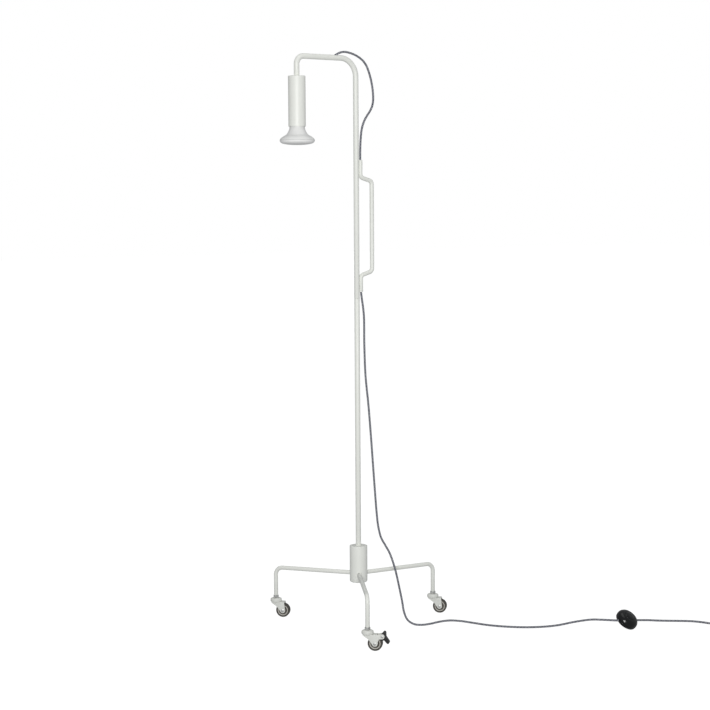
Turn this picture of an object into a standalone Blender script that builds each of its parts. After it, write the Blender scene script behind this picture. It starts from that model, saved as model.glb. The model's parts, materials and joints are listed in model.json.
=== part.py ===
"""Pharmacy floor lamp on three casters, with its lead and foot switch.

Metres, +Z up, the floor at z = 0. Inside the lamp's own frame the pole is the
Z axis, the arm and the head reach towards -X, and the handle and leg A point
towards +X. An empty moves that frame so that the lamp's footprint box is
centred on the world's origin.
"""
import math

import bmesh
import bpy
from mathutils import Matrix, Vector

# ---------------------------------------------------------------- dimensions
GAP = 0.0003              # between faces that touch on the real lamp
RUN = 0.0004              # clearance of a turning fit

LAMP_HEIGHT = 1.600       # floor to the top of the arm
POLE_R = 0.0075
POLE_WALL = 0.0015
SEAM_BELOW_HANDLE = 0.018  # the joint of the two pole tubes, below the handle
POLE_SOCKET = 0.060       # depth of the pole in the hub
ARM_BEND_R = 0.050
HEAD_REACH = 0.194        # pole axis to head axis
DROP_BEND_R = 0.022

LEAD_HOLE_X = -0.066      # where the lead leaves the top of the arm
LEAD_HOLE_SLOPE = math.radians(30)
LEAD_R = 0.003
LEAD_CLEAR = 0.0006       # round the lead in a hole

HANDLE_R = 0.006
HANDLE_WALL = 0.0012
HANDLE_REACH = 0.0524     # pole axis to the grip's axis
HANDLE_DROP = 0.2855      # top of the arm to the top of the handle
HANDLE_LENGTH = 0.3655
HANDLE_STUB_TOP = 0.047   # straight part beside the pole, upper and lower
HANDLE_STUB_LOW = 0.0455
HANDLE_SLOPE = math.radians(16)
HANDLE_BEND_R = 0.012

HUB_R = 0.025
HUB_BOTTOM_Z = 0.127
HUB_HEIGHT = 0.104
HUB_TOP_EDGE = 0.0015
HUB_LOW_EDGE = 0.005
HUB_BOLT_R = 0.004
HUB_BOLT_HEAD_R = 0.0065
HUB_BOLT_HEAD_H = 0.008
POLE_INSERT_LENGTH = 0.026
COUPLER_LENGTH = 0.060

LEG_R = 0.006
LEG_WALL = 0.0015
LEG_REACH = 0.265         # pole axis to caster stem
LEG_AXIS_Z = 0.1517       # height of a leg's axis where it meets the pole's
LEG_DROOP = math.radians(1.5)
LEG_INNER_R = 0.0115      # where a leg's tube starts, inside the hub
LEG_BEND_R = 0.022
LEG_ANGLES = {"a": 0, "b": 120, "c": -120}
SET_SCREW_R = 0.0025
SET_SCREW_AT = 0.0175
SET_SCREW_LENGTH = 0.013

WHEEL_R = 0.020
TYRE_WIDTH = 0.016
WHEEL_STEPS = 24
TYRE_BORE = 0.785         # of the wheel's radius, as are the next two
WHEEL_RIM_IN = 0.62
WHEEL_HUB = 0.35
AXLE_R = 0.0025
AXLE_HEAD_R = 0.0045
TRAIL = 0.021             # stem axis to wheel axle, seen from above
TRAIL_ANGLE = math.radians(-45)
YOKE_GAP = 0.0180         # between the cheeks
CHEEK = 0.0024
WHEEL_ROOM = 0.0017       # tyre to the yoke's plate
YOKE_PLATE = 0.0028
YOKE_DISC_R = 0.0140
YOKE_END_R = 0.0075       # round the axle
STEM_R = 0.004
STEM_HEAD_R = 0.0060
STEM_HEAD_H = 0.0024
STEM_REACH = 0.022        # stem inside the leg's end
CAP_R = 0.0165
CAP_HEIGHT = 0.0105
NUT_RADIUS = 0.0085       # to the corners
NUT_HEIGHT = 0.0070
BRAKE_EAR_R = 0.0066
BRAKE_AT = (WHEEL_R, WHEEL_R)  # pedal pin from the axle, along the trail and up
BRAKE_PIN_R = 0.0018
PEDAL_WIDTH = 0.0164
PEDAL_REACH = 0.047       # caster C's stem to the pedal's far side, towards -Y

CASING_R = 0.0235
HEAD_DROP = 0.060         # top of the arm to the top of the casing
CASING_LENGTH = 0.137
CASING_WALL = 0.0012
CASING_CROWN = 0.0025
NIPPLE_R = 0.005
NIPPLE_BORE_R = 0.0038
NIPPLE_BELOW = 0.035      # nipple below the casing's top
NIPPLE_ABOVE = 0.016
LOCK_NUT_RADIUS = 0.0085
LOCK_NUT_H = 0.004
HOLDER_R = 0.0195
HOLDER_LENGTH = 0.0345
HOLDER_CAP_H = 0.0185
HOLDER_BORE_R = 0.0141
BULB_LENGTH = 0.135
BULB_CAP_R = 0.0131
BULB_CAP_H = 0.0265
BULB_R = 0.0475
BULB_WALL = 0.0014
BULB_NECK_ROOM = 0.0007   # bulb to the casing's mouth
BULB_RIM = 0.0125         # its widest place above its face
BULB_SHOW = 0.0495        # bulb below the casing

SWITCH_R = 0.032
SWITCH_BASE_H = 0.0095
SWITCH_HEIGHT = 0.0245
SWITCH_WALL = 0.0020
SWITCH_BUTTON_R = 0.0145
SWITCH_TRAVEL = 0.003
SWITCH_AT = (0.586, -0.4695)
SWITCH_AXIS = Vector((0.145, -0.617, 0.774)).normalized()
SWITCH_LEAD_WAY = Vector((0.988, 0.043, -0.150))
SWITCH_LEAD_H = 0.0055    # lead's axis above the base's underside

COIL_AT = (0.867, -0.613)
COIL_MEAN_R = 0.033
COIL_COLUMNS = 2
COIL_LAYERS = 3
PLUG_AWAY = (0.0115, 0.0005)  # its back end from the coil's middle radius
PLUG_TURN = math.radians(55)
PLUG_RELIEF = 0.026
PLUG_BODY_LENGTH = 0.035
PLUG_BODY_WIDTH = 0.0355
PLUG_BODY_H = 0.0137
PLUG_PIN_R = 0.002
PLUG_PIN_LENGTH = 0.019
PLUG_PIN_SPACING = 0.0186

ARM_Z = LAMP_HEIGHT - POLE_R
HUB_TOP_Z = HUB_BOTTOM_Z + HUB_HEIGHT
POLE_FOOT_Z = HUB_TOP_Z - POLE_SOCKET
YOKE_TOP_Z = 2 * WHEEL_R + WHEEL_ROOM + YOKE_PLATE
TYRE_BORE_R = WHEEL_R * TYRE_BORE
CAP_Z = YOKE_TOP_Z + GAP
NUT_Z = CAP_Z + CAP_HEIGHT + GAP
LEG_END_Z = NUT_Z + NUT_HEIGHT + GAP
HANDLE_TOP_Z = LAMP_HEIGHT - HANDLE_DROP
POLE_SEAM_Z = HANDLE_TOP_Z - HANDLE_LENGTH - SEAM_BELOW_HANDLE
CASING_TOP_Z = LAMP_HEIGHT - HEAD_DROP
CASING_LOW_Z = CASING_TOP_Z - CASING_LENGTH
BULB_BOTTOM_Z = CASING_LOW_Z - BULB_SHOW
PLUG_AT = (COIL_AT[0] + COIL_MEAN_R + PLUG_AWAY[0], COIL_AT[1] + PLUG_AWAY[1])
STUB_X = POLE_R + GAP + HANDLE_R

# The footprint's box reaches from the bulb to caster A, and from leg B to pedal C.
REACH_PLUS_X = LEG_REACH + (TRAIL + WHEEL_R + TYRE_WIDTH / 2) * math.cos(TRAIL_ANGLE)
REACH_PLUS_Y = LEG_REACH * math.sin(math.radians(120)) + CAP_R
REACH_MINUS_Y = LEG_REACH * math.sin(math.radians(120)) + PEDAL_REACH
FRAME_X = (HEAD_REACH + BULB_R - REACH_PLUS_X) / 2
FRAME_Y = (REACH_MINUS_Y - REACH_PLUS_Y) / 2

# Routes of the free lead, in millimetres in the lamp's frame.
UPPER_ROUTE = [
    (-65.6, 0, 1600.2), (-58, 0, 1604.5), (-46, 0, 1608.5), (-34, 0, 1609.5), (-22, 0, 1608),
    (-4, 0, 1603.5), (11, 0, 1597), (25, 0, 1588), (35, 0, 1577), (43, 0, 1562), (52, 0, 1536),
    (57.5, 0, 1509), (59, 0, 1483), (55.5, 0, 1465), (48, 0, 1451), (38, 0, 1438),
    (28, 0, 1423), (20, 0, 1402), (16, 0, 1376), (14.2, 0, 1348), (13.8, 0, 1330),
    (13.8, 0, 1315),
]
LOWER_ROUTE = [
    (13.8, 0, 948.2), (15.3, -1.6, 931), (19.5, -5, 885), (20, -6, 800), (22, -8, 715),
    (28, -13, 630), (33, -17, 545), (37, -21, 461), (42, -24, 375), (45, -27, 320),
    (48, -30, 283), (54, -35, 252), (63, -43, 230), (72, -51, 208), (84, -60, 163),
    (93, -68, 109), (99, -73, 70), (103, -77, 38), (110, -85, 16), (123, -97, 5),
    (139, -111, 3.2), (166, -116, 3.2), (204, -113, 3.2), (234, -119, 3.2), (254, -140, 3.2),
    (271, -180, 3.2), (289, -224, 3.2), (319, -268, 3.2), (359, -306, 3.2), (403, -331, 3.2),
    (444, -348, 5), (481, -374, 14), (508, -413, 24.5), (520, -443, 28.5), (532, -465, 30),
    (545, -474.5, 29.2), (553.9, -474.3, 28),
]
TAIL_ROUTE = [
    (619.8, -471.4, 18), (632, -471, 16.2), (650, -471, 13.6), (676, -473, 10), (701, -480, 6.6),
    (729, -492, 4.2), (759, -511, 3.2), (784, -534, 3.2), (798, -557, 3.2), (807, -580, 3.2),
    (815, -600, 3.2), (823.5, -617, 3.2),
]

# ---------------------------------------------------------------- an empty scene
for old in list(bpy.data.objects):
    bpy.data.objects.remove(old, do_unlink=True)

PARTS = bpy.data.collections.new("pharmacy_floor_lamp")
CUTTERS = bpy.data.collections.new("cutters")
for group in (PARTS, CUTTERS):
    bpy.context.scene.collection.children.link(group)


def material(name, rgb, roughness, metallic=0.0):
    """One Principled material with a colour, a roughness and a metallic value."""
    made = bpy.data.materials.new(name)
    made.use_nodes = True
    shader = made.node_tree.nodes["Principled BSDF"]
    shader.inputs["Base Color"].default_value = (*rgb, 1.0)
    shader.inputs["Roughness"].default_value = roughness
    shader.inputs["Metallic"].default_value = metallic
    return made


ENAMEL = material("enamel", (0.78, 0.78, 0.75), 0.38)
STEEL = material("zinc_steel", (0.62, 0.62, 0.60), 0.35, 1.0)
BRASS = material("brass", (0.70, 0.53, 0.25), 0.30, 1.0)
YOKE_WHITE = material("yoke_white", (0.74, 0.74, 0.70), 0.45)
WHEEL_GREY = material("wheel_grey", (0.42, 0.41, 0.39), 0.5)
TYRE_BLACK = material("tyre_rubber", (0.07, 0.065, 0.06), 0.65)
BLACK = material("black_plastic", (0.015, 0.016, 0.018), 0.28)
BULB_WHITE = material("bulb_white", (0.80, 0.80, 0.79), 0.42)
DIFFUSER = material("bulb_diffuser", (0.68, 0.68, 0.66), 0.55)
HOLDER = material("holder_ceramic", (0.80, 0.79, 0.74), 0.3)
TEXTILE = material("lead_textile", (0.12, 0.13, 0.22), 0.85)
BOARD = material("led_board", (0.75, 0.76, 0.74), 0.5)


# ---------------------------------------------------------------- building tools
def empty(name, location, parent=None, turn=0.0):
    """A frame to build in: an empty, turned about its own Z axis."""
    frame = bpy.data.objects.new(name, None)
    frame.location = location
    frame.rotation_euler = (0, 0, turn)
    frame.parent = parent
    PARTS.objects.link(frame)
    return frame


def place(name, mesh, parent, finish, location=(0, 0, 0), rotation=(0, 0, 0), group=None):
    """An object for a mesh or a curve, with its material, in a collection."""
    made = bpy.data.objects.new(name, mesh)
    made.location = location
    made.rotation_euler = rotation
    made.parent = parent
    if finish:
        mesh.materials.append(finish)
    (group or PARTS).objects.link(made)
    return made


def turned(name, profile, parent, finish, location=(0, 0, 0), rotation=(0, 0, 0), steps=32,
           closed=False, group=None):
    """A turned shape: (radius, height) points down the outer side, then a Screw."""
    mesh = bpy.data.meshes.new(name)
    shape = bmesh.new()
    points = [shape.verts.new((r, 0, z)) for r, z in profile]
    for here, there in zip(points, points[1:]):
        shape.edges.new((here, there))
    if closed:
        shape.edges.new((points[-1], points[0]))
    shape.to_mesh(mesh)
    shape.free()
    made = place(name, mesh, parent, finish, location, rotation, group)
    screw = made.modifiers.new("turn", "SCREW")
    screw.steps = steps
    screw.render_steps = steps
    screw.use_merge_vertices = True
    screw.merge_threshold = 0.000001
    screw.use_smooth_shade = True
    return made


def rounded_path(corners, radii, steps=8):
    """A polyline through corners, each inner corner replaced by an arc of its radius."""
    path = [Vector(corners[0])]
    for i, radius in enumerate(radii, start=1):
        before, corner, after = (Vector(corners[k]) for k in (i - 1, i, i + 1))
        way_in = (corner - before).normalized()
        way_out = (after - corner).normalized()
        angle = way_in.angle(way_out)
        reach = radius * math.tan(angle / 2)
        start = corner - way_in * reach
        centre = start + (way_out - way_in * way_in.dot(way_out)).normalized() * radius
        axis = way_in.cross(way_out).normalized()
        for k in range(steps + 1):
            turn = Matrix.Rotation(angle * k / steps, 3, axis)
            path.append(centre + turn @ (start - centre))
    path.append(Vector(corners[-1]))
    return path


def smooth_route(points, spacing):
    """Points every spacing metres along a smooth curve through route points in mm."""
    knots = [Vector(p) / 1000 for p in points]
    ends = [2 * knots[0] - knots[1]] + knots + [2 * knots[-1] - knots[-2]]
    fine = []
    for p0, p1, p2, p3 in zip(ends, ends[1:], ends[2:], ends[3:]):
        d1, d2, d3 = (max((b - a).length, 1e-6) ** 0.5 for a, b in ((p0, p1), (p1, p2), (p2, p3)))
        m1 = (p2 - p1) + d2 * ((p1 - p0) / d1 - (p2 - p0) / (d1 + d2))
        m2 = (p2 - p1) + d2 * ((p3 - p2) / d3 - (p3 - p1) / (d2 + d3))
        for k in range(24):
            t = k / 24
            fine.append(p1 * (2 * t ** 3 - 3 * t ** 2 + 1) + m1 * (t ** 3 - 2 * t ** 2 + t)
                        + p2 * (3 * t ** 2 - 2 * t ** 3) + m2 * (t ** 3 - t ** 2))
    fine.append(knots[-1])
    total = sum((b - a).length for a, b in zip(fine, fine[1:]))
    count = max(2, round(total / spacing))
    out = [fine[0]]
    walked = 0.0
    for a, b in zip(fine, fine[1:]):
        step = (b - a).length
        while len(out) < count and walked + step >= len(out) * total / count:
            out.append(a.lerp(b, (len(out) * total / count - walked) / step))
        walked += step
    out.append(fine[-1])
    return out


def rod(name, path, radius, parent, finish, resolution=2, capped=True, cyclic=False, group=None):
    """A round rod, wire or lead: a poly curve with a bevel depth."""
    curve = bpy.data.curves.new(name, "CURVE")
    curve.dimensions = "3D"
    curve.bevel_depth = radius
    curve.bevel_resolution = resolution
    curve.use_fill_caps = capped
    line = curve.splines.new("POLY")
    line.points.add(len(path) - 1)
    for point, spot in zip(line.points, path):
        point.co = (*spot, 1.0)
    line.use_cyclic_u = cyclic
    line.use_smooth = True
    return place(name, curve, parent, finish, group=group)


def plate(name, outlines, thickness, parent, finish, location=(0, 0, 0), rotation=(0, 0, 0),
          group=None):
    """A flat piece from 2D outlines, the first one outside and the rest holes."""
    curve = bpy.data.curves.new(name, "CURVE")
    curve.dimensions = "2D"
    curve.fill_mode = "BOTH"
    curve.extrude = thickness / 2
    for outline in outlines:
        line = curve.splines.new("POLY")
        line.points.add(len(outline) - 1)
        for point, (x, y) in zip(line.points, outline):
            point.co = (x, y, 0, 1)
        line.use_cyclic_u = True
    return place(name, curve, parent, finish, location, rotation, group)


def as_mesh(made):
    """The same object made a mesh, with its caps welded, ready for modifiers."""
    bpy.context.view_layer.update()
    graph = bpy.context.evaluated_depsgraph_get()
    mesh = bpy.data.meshes.new_from_object(made.evaluated_get(graph))
    shape = bmesh.new()
    shape.from_mesh(mesh)
    bmesh.ops.remove_doubles(shape, verts=shape.verts, dist=0.000001)
    shape.to_mesh(mesh)
    shape.free()
    name, parent, group = made.name, made.parent, made.users_collection[0]
    basis = made.matrix_basis.copy()
    bpy.data.objects.remove(made, do_unlink=True)
    out = bpy.data.objects.new(name, mesh)
    out.parent = parent
    out.matrix_basis = basis
    group.objects.link(out)
    return out


def hollow(name, path, radius, wall, parent, finish, resolution=4):
    """A tube: an uncapped bevelled curve made a mesh, with a wall inside it."""
    made = as_mesh(rod(name, path, radius, parent, finish, resolution, capped=False))
    shell = made.modifiers.new("wall", "SOLIDIFY")
    shell.thickness = wall
    shell.offset = -1
    made.data.shade_smooth()
    return made


def cylinder_cutter(name, radius, length, parent, matrix, steps=24):
    """A round cutter along its own Z axis, from 0 to length."""
    mesh = bpy.data.meshes.new(name)
    shape = bmesh.new()
    bmesh.ops.create_cone(shape, cap_ends=True, segments=steps, radius1=radius, radius2=radius,
                          depth=length, matrix=Matrix.Translation((0, 0, length / 2)))
    shape.to_mesh(mesh)
    shape.free()
    return hide_cutter(place(name, mesh, parent, None, group=CUTTERS), matrix)


def box_cutter(name, low, high, parent, matrix=Matrix()):
    """A box cutter between two corners."""
    mesh = bpy.data.meshes.new(name)
    shape = bmesh.new()
    size = Vector(high) - Vector(low)
    middle = (Vector(high) + Vector(low)) / 2
    bmesh.ops.create_cube(shape, size=1.0,
                          matrix=Matrix.Translation(middle) @ Matrix.Diagonal((*size, 1)))
    shape.to_mesh(mesh)
    shape.free()
    return hide_cutter(place(name, mesh, parent, None, group=CUTTERS), matrix)


def hide_cutter(cutter, matrix):
    """A cutter is only a guide: it isn't rendered, and shows as wire."""
    cutter.matrix_basis = matrix
    cutter.hide_render = True
    cutter.display_type = "WIRE"
    return cutter


def combine(made, other, operation="DIFFERENCE"):
    """Cut one solid with another, or join them."""
    cut = made.modifiers.new(other.name, "BOOLEAN")
    cut.operation = operation
    cut.object = other
    cut.solver = "EXACT"
    return made


def along(origin, way, side=Vector((0, 0, 1))):
    """A matrix whose Z axis runs along way from origin."""
    z = Vector(way).normalized()
    if abs(z.dot(side)) > 0.99:
        side = Vector((1, 0, 0))
    x = side.cross(z).normalized()
    turn = Matrix((x, z.cross(x), z)).transposed().to_4x4()
    return Matrix.Translation(origin) @ turn


def arc(centre, radius, start, end, steps):
    """Points on an arc in a plane, from one angle in degrees to another."""
    angles = [math.radians(start + (end - start) * k / steps) for k in range(steps + 1)]
    return [(centre[0] + radius * math.cos(a), centre[1] + radius * math.sin(a)) for a in angles]


def circle(radius, steps=24, centre=(0, 0)):
    """A closed circle's points."""
    return arc(centre, radius, 0, 360, steps)[:-1]


# ---------------------------------------------------------------- hub, pole and legs
def leg_way(angle):
    """Unit vector outward along a leg, drooping a little."""
    return Vector((math.cos(angle) * math.cos(LEG_DROOP), math.sin(angle) * math.cos(LEG_DROOP),
                   -math.sin(LEG_DROOP)))


def make_hub(lamp):
    """Turned iron hub with the pole's socket, three leg bores and three set screws."""
    low, top = HUB_BOTTOM_Z, HUB_TOP_Z
    head_r = HUB_BOLT_HEAD_R + GAP
    head_z = low + HUB_BOLT_HEAD_H + GAP
    shank_r = HUB_BOLT_R + GAP
    profile = [(POLE_R + GAP, top)]
    profile += arc((HUB_R - HUB_TOP_EDGE, top - HUB_TOP_EDGE), HUB_TOP_EDGE, 90, 0, 2)
    profile += arc((HUB_R - HUB_LOW_EDGE, low + HUB_LOW_EDGE), HUB_LOW_EDGE, 0, -90, 3)
    profile += [(head_r, low), (head_r, head_z), (shank_r, head_z), (shank_r, POLE_FOOT_Z - GAP),
                (POLE_R + GAP, POLE_FOOT_Z - GAP)]
    hub = turned("hub_body", profile, lamp, ENAMEL, steps=24, closed=True)
    for key, degrees in LEG_ANGLES.items():
        angle = math.radians(degrees)
        way = leg_way(angle)
        start = Vector((0, 0, LEG_AXIS_Z)) + way * (LEG_INNER_R - GAP)
        bore = cylinder_cutter(f"leg_bore_{key}", LEG_R + GAP, HUB_R, lamp, along(start, way))
        combine(hub, bore)
        screw_at = Vector((math.cos(angle), math.sin(angle), 0)) * SET_SCREW_AT
        hole = cylinder_cutter(f"screw_bore_{key}", SET_SCREW_R + GAP, LEG_AXIS_Z - low, lamp,
                               Matrix.Translation(screw_at + Vector((0, 0, low - 0.001))), 16)
        combine(hub, hole)
        screw_z = LEG_AXIS_Z - SET_SCREW_AT * math.tan(LEG_DROOP) - LEG_R - 2 * GAP
        turned(f"leg_{key}_set_screw", [
            (0, 0), (SET_SCREW_R - 0.0006, 0), (SET_SCREW_R, -0.0006),
            (SET_SCREW_R, -SET_SCREW_LENGTH), (0.0014, -SET_SCREW_LENGTH),
            (0.0014, 0.003 - SET_SCREW_LENGTH), (0, 0.003 - SET_SCREW_LENGTH),
        ], lamp, STEEL, screw_at + Vector((0, 0, screw_z)), steps=12)
    bolt_top = POLE_FOOT_Z + POLE_INSERT_LENGTH - 0.004
    turned("hub_bolt", [
        (0, bolt_top), (HUB_BOLT_R, bolt_top), (HUB_BOLT_R, head_z - GAP),
        (HUB_BOLT_HEAD_R, head_z - GAP), (HUB_BOLT_HEAD_R, low + 0.0006),
        (HUB_BOLT_HEAD_R - 0.0006, low), (0.0034, low), (0.0034, low + 0.004), (0, low + 0.004),
    ], lamp, STEEL, steps=16)
    return hub


def make_pole(lamp):
    """Two pole tubes, the coupler between them, and the threaded insert in the foot."""
    bore = POLE_R - POLE_WALL - GAP
    hollow("lower_pole", [(0, 0, POLE_FOOT_Z), (0, 0, POLE_SEAM_Z - GAP / 2)], POLE_R, POLE_WALL,
           lamp, ENAMEL)
    turned("pole_foot_insert", [
        (bore, POLE_FOOT_Z + POLE_INSERT_LENGTH), (bore, POLE_FOOT_Z),
        (HUB_BOLT_R + GAP, POLE_FOOT_Z), (HUB_BOLT_R + GAP, POLE_FOOT_Z + POLE_INSERT_LENGTH),
    ], lamp, STEEL, steps=20, closed=True)
    half = COUPLER_LENGTH / 2
    turned("pole_coupler", [
        (0, half), (bore - 0.001, half), (bore, half - 0.001), (bore, 0.001 - half),
        (bore - 0.001, -half), (0, -half),
    ], lamp, STEEL, (0, 0, POLE_SEAM_Z), steps=20)

    path = rounded_path([(0, 0, POLE_SEAM_Z + GAP / 2), (0, 0, ARM_Z), (-HEAD_REACH, 0, ARM_Z),
                         (-HEAD_REACH, 0, CASING_TOP_Z + GAP)], [ARM_BEND_R, DROP_BEND_R], steps=6)
    arm = hollow("upper_pole", path, POLE_R, POLE_WALL, lamp, ENAMEL)
    way = Vector((math.cos(LEAD_HOLE_SLOPE), 0, math.sin(LEAD_HOLE_SLOPE)))
    start = Vector((LEAD_HOLE_X, 0, LAMP_HEIGHT)) - way * (POLE_R / way.z)
    hole = cylinder_cutter("lead_hole", LEAD_R + LEAD_CLEAR, 4 * POLE_R, lamp, along(start, way))
    return combine(arm, hole)


def handle_path():
    """The handle's axis: two stubs beside the pole, and the grip between them."""
    drop = (HANDLE_REACH - STUB_X) * math.tan(HANDLE_SLOPE)
    top, low = HANDLE_TOP_Z, HANDLE_TOP_Z - HANDLE_LENGTH
    corners = [
        (STUB_X, 0, top), (STUB_X, 0, top - HANDLE_STUB_TOP),
        (HANDLE_REACH, 0, top - HANDLE_STUB_TOP - drop),
        (HANDLE_REACH, 0, low + HANDLE_STUB_LOW + drop),
        (STUB_X, 0, low + HANDLE_STUB_LOW), (STUB_X, 0, low),
    ]
    return rounded_path(corners, [HANDLE_BEND_R] * 4, steps=4)


def make_legs(lamp):
    """Three bent tubes out of the hub and down to the casters."""
    for key, degrees in LEG_ANGLES.items():
        angle = math.radians(degrees)
        way = leg_way(angle)
        hub = Vector((0, 0, LEG_AXIS_Z))
        corner = hub + way * (LEG_REACH / math.cos(LEG_DROOP))
        foot = Vector((corner.x, corner.y, LEG_END_Z))
        path = rounded_path([hub + way * LEG_INNER_R, corner, foot], [LEG_BEND_R], steps=6)
        hollow(f"leg_{key}", path, LEG_R, LEG_WALL, lamp, ENAMEL, resolution=3)


# ---------------------------------------------------------------- casters
def yoke_outline(with_ear):
    """A cheek's outline from the side: x along the trail from the axle, y up from it."""
    top = YOKE_TOP_Z - WHEEL_R
    outline = arc((0, 0), YOKE_END_R, 200, 350, 8)
    if with_ear:
        outline += [(0.475 * WHEEL_R, 0.45 * WHEEL_R), (0.625 * WHEEL_R, 0.625 * WHEEL_R)]
        outline += arc(BRAKE_AT, BRAKE_EAR_R, -75, 90, 8)
        outline += [(WHEEL_R / 2, top)]
    else:
        outline += [(0.3 * WHEEL_R, WHEEL_R / 2), (0.23 * WHEEL_R, top)]
    back = -TRAIL - 0.82 * YOKE_DISC_R
    outline += [(back, top), (back, top - YOKE_PLATE), (-0.875 * WHEEL_R, 0.575 * WHEEL_R)]
    return outline


def make_yoke(name, frame, wheel_frame, with_ear):
    """Two cheeks under a round top plate, bored for the kingpin and the axle."""
    width = YOKE_GAP + 2 * CHEEK
    sideways = (math.radians(90), 0, 0)
    yoke = as_mesh(plate(f"{name}_yoke", [yoke_outline(with_ear)], width, wheel_frame, YOKE_WHITE,
                         rotation=sideways))
    plate_low = YOKE_TOP_Z - YOKE_PLATE
    disc = cylinder_cutter(f"{name}_plate_disc", YOKE_DISC_R, YOKE_PLATE, frame,
                           Matrix.Translation((0, 0, plate_low)), 32)
    combine(yoke, disc, "UNION")
    far = 0.08
    slot = box_cutter(f"{name}_slot", (-far, -YOKE_GAP / 2, -far),
                      (far, YOKE_GAP / 2, plate_low - WHEEL_R), wheel_frame)
    combine(yoke, slot)
    if with_ear:
        front = box_cutter(f"{name}_front", (0.0055, -YOKE_GAP / 2, -far), (far, YOKE_GAP / 2, far),
                           wheel_frame)
        combine(yoke, front)
        pin_hole = cylinder_cutter(
            f"{name}_pin_hole", BRAKE_PIN_R + GAP, 2 * width, wheel_frame,
            along(Vector((BRAKE_AT[0], -width, BRAKE_AT[1])), (0, 1, 0)), 16)
        combine(yoke, pin_hole)
    king = cylinder_cutter(f"{name}_king_hole", STEM_R + RUN, 0.02, frame,
                           Matrix.Translation((0, 0, plate_low - 0.01)), 20)
    combine(yoke, king)
    axle_hole = cylinder_cutter(f"{name}_axle_hole", AXLE_R + GAP, 2 * width, wheel_frame,
                                along(Vector((0, -width, 0)), (0, 1, 0)), 16)
    return combine(yoke, axle_hole)


def make_rivet(name, frame, at, shaft_r, head_r):
    """A headed pin across the cheeks, its two heads outside them."""
    half = YOKE_GAP / 2 + CHEEK + GAP
    head = 0.0012
    turned(name, [
        (0, half + head), (head_r * 0.7, half + head), (head_r, half + head * 0.4),
        (head_r, half), (shaft_r, half), (shaft_r, -half), (head_r, -half),
        (head_r, -half - head * 0.4), (head_r * 0.7, -half - head), (0, -half - head),
    ], frame, STEEL, at, (math.radians(-90), 0, 0), steps=10)


def make_wheel(name, frame):
    """A moulded wheel with a stepped face, and its rubber tyre."""
    half = TYRE_WIDTH / 2
    rim_out = TYRE_BORE_R - GAP
    rim_in = WHEEL_R * WHEEL_RIM_IN
    hub = WHEEL_R * WHEEL_HUB
    face = half + 0.0004
    lip = half - 0.0008
    web = half - 0.0045
    core = [(AXLE_R + RUN, face), (hub, face), (hub, web), (rim_in, web), (rim_in, lip),
            (rim_out, lip)]
    core += [(r, -z) for r, z in core[::-1]]
    steps = WHEEL_STEPS
    across = (math.radians(90), 0, 0)
    turned(f"{name}_wheel", core, frame, WHEEL_GREY, rotation=across, steps=steps, closed=True)
    flat = WHEEL_R / math.cos(math.pi / steps)
    edge = 0.0030
    tread = [(TYRE_BORE_R, half - 0.0006), (flat - edge - 0.0004, half)]
    tread += arc((flat - edge, half - edge), edge, 80, 0, 2)
    tread += [(r, -z) for r, z in tread[::-1]]
    half_facet = math.pi / steps
    tyre = turned(f"{name}_tyre", tread, frame, TYRE_BLACK, steps=steps, closed=True)
    tyre.matrix_basis = Matrix.Rotation(math.radians(90), 4, "X") @ Matrix.Rotation(half_facet, 4, "Z")


def make_pedal(name, frame):
    """Brake pedal on its pin: a wing above, a lever behind, and a shoe on the tyre."""
    grip = WHEEL_R + 0.0004
    shoe = arc((0, 0), grip, 51, 29, 4)
    wing = [(0.725, 1.100), (1.075, 1.550), (1.225, 1.665), (1.400, 1.590), (1.460, 1.425)]
    lever = [(1.465, 0.950), (1.860, 0.375)] + arc((1.750, 0.210), 0.190, 20, -130, 5)
    throat = [(1.250, 0.475), (0.950, 0.440)]
    outline = [(x * WHEEL_R, y * WHEEL_R) for x, y in wing + lever + throat]
    outline += shoe[::-1]
    outline += [(0.66 * WHEEL_R, 0.925 * WHEEL_R)]
    hole = circle(BRAKE_PIN_R + GAP, 16, BRAKE_AT)
    plate(f"{name}_brake_pedal", [outline, hole], PEDAL_WIDTH, frame, BLACK,
          rotation=(math.radians(90), 0, 0))
    make_rivet(f"{name}_brake_pin", frame, (BRAKE_AT[0], 0, BRAKE_AT[1]), BRAKE_PIN_R, 0.0032)


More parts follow.
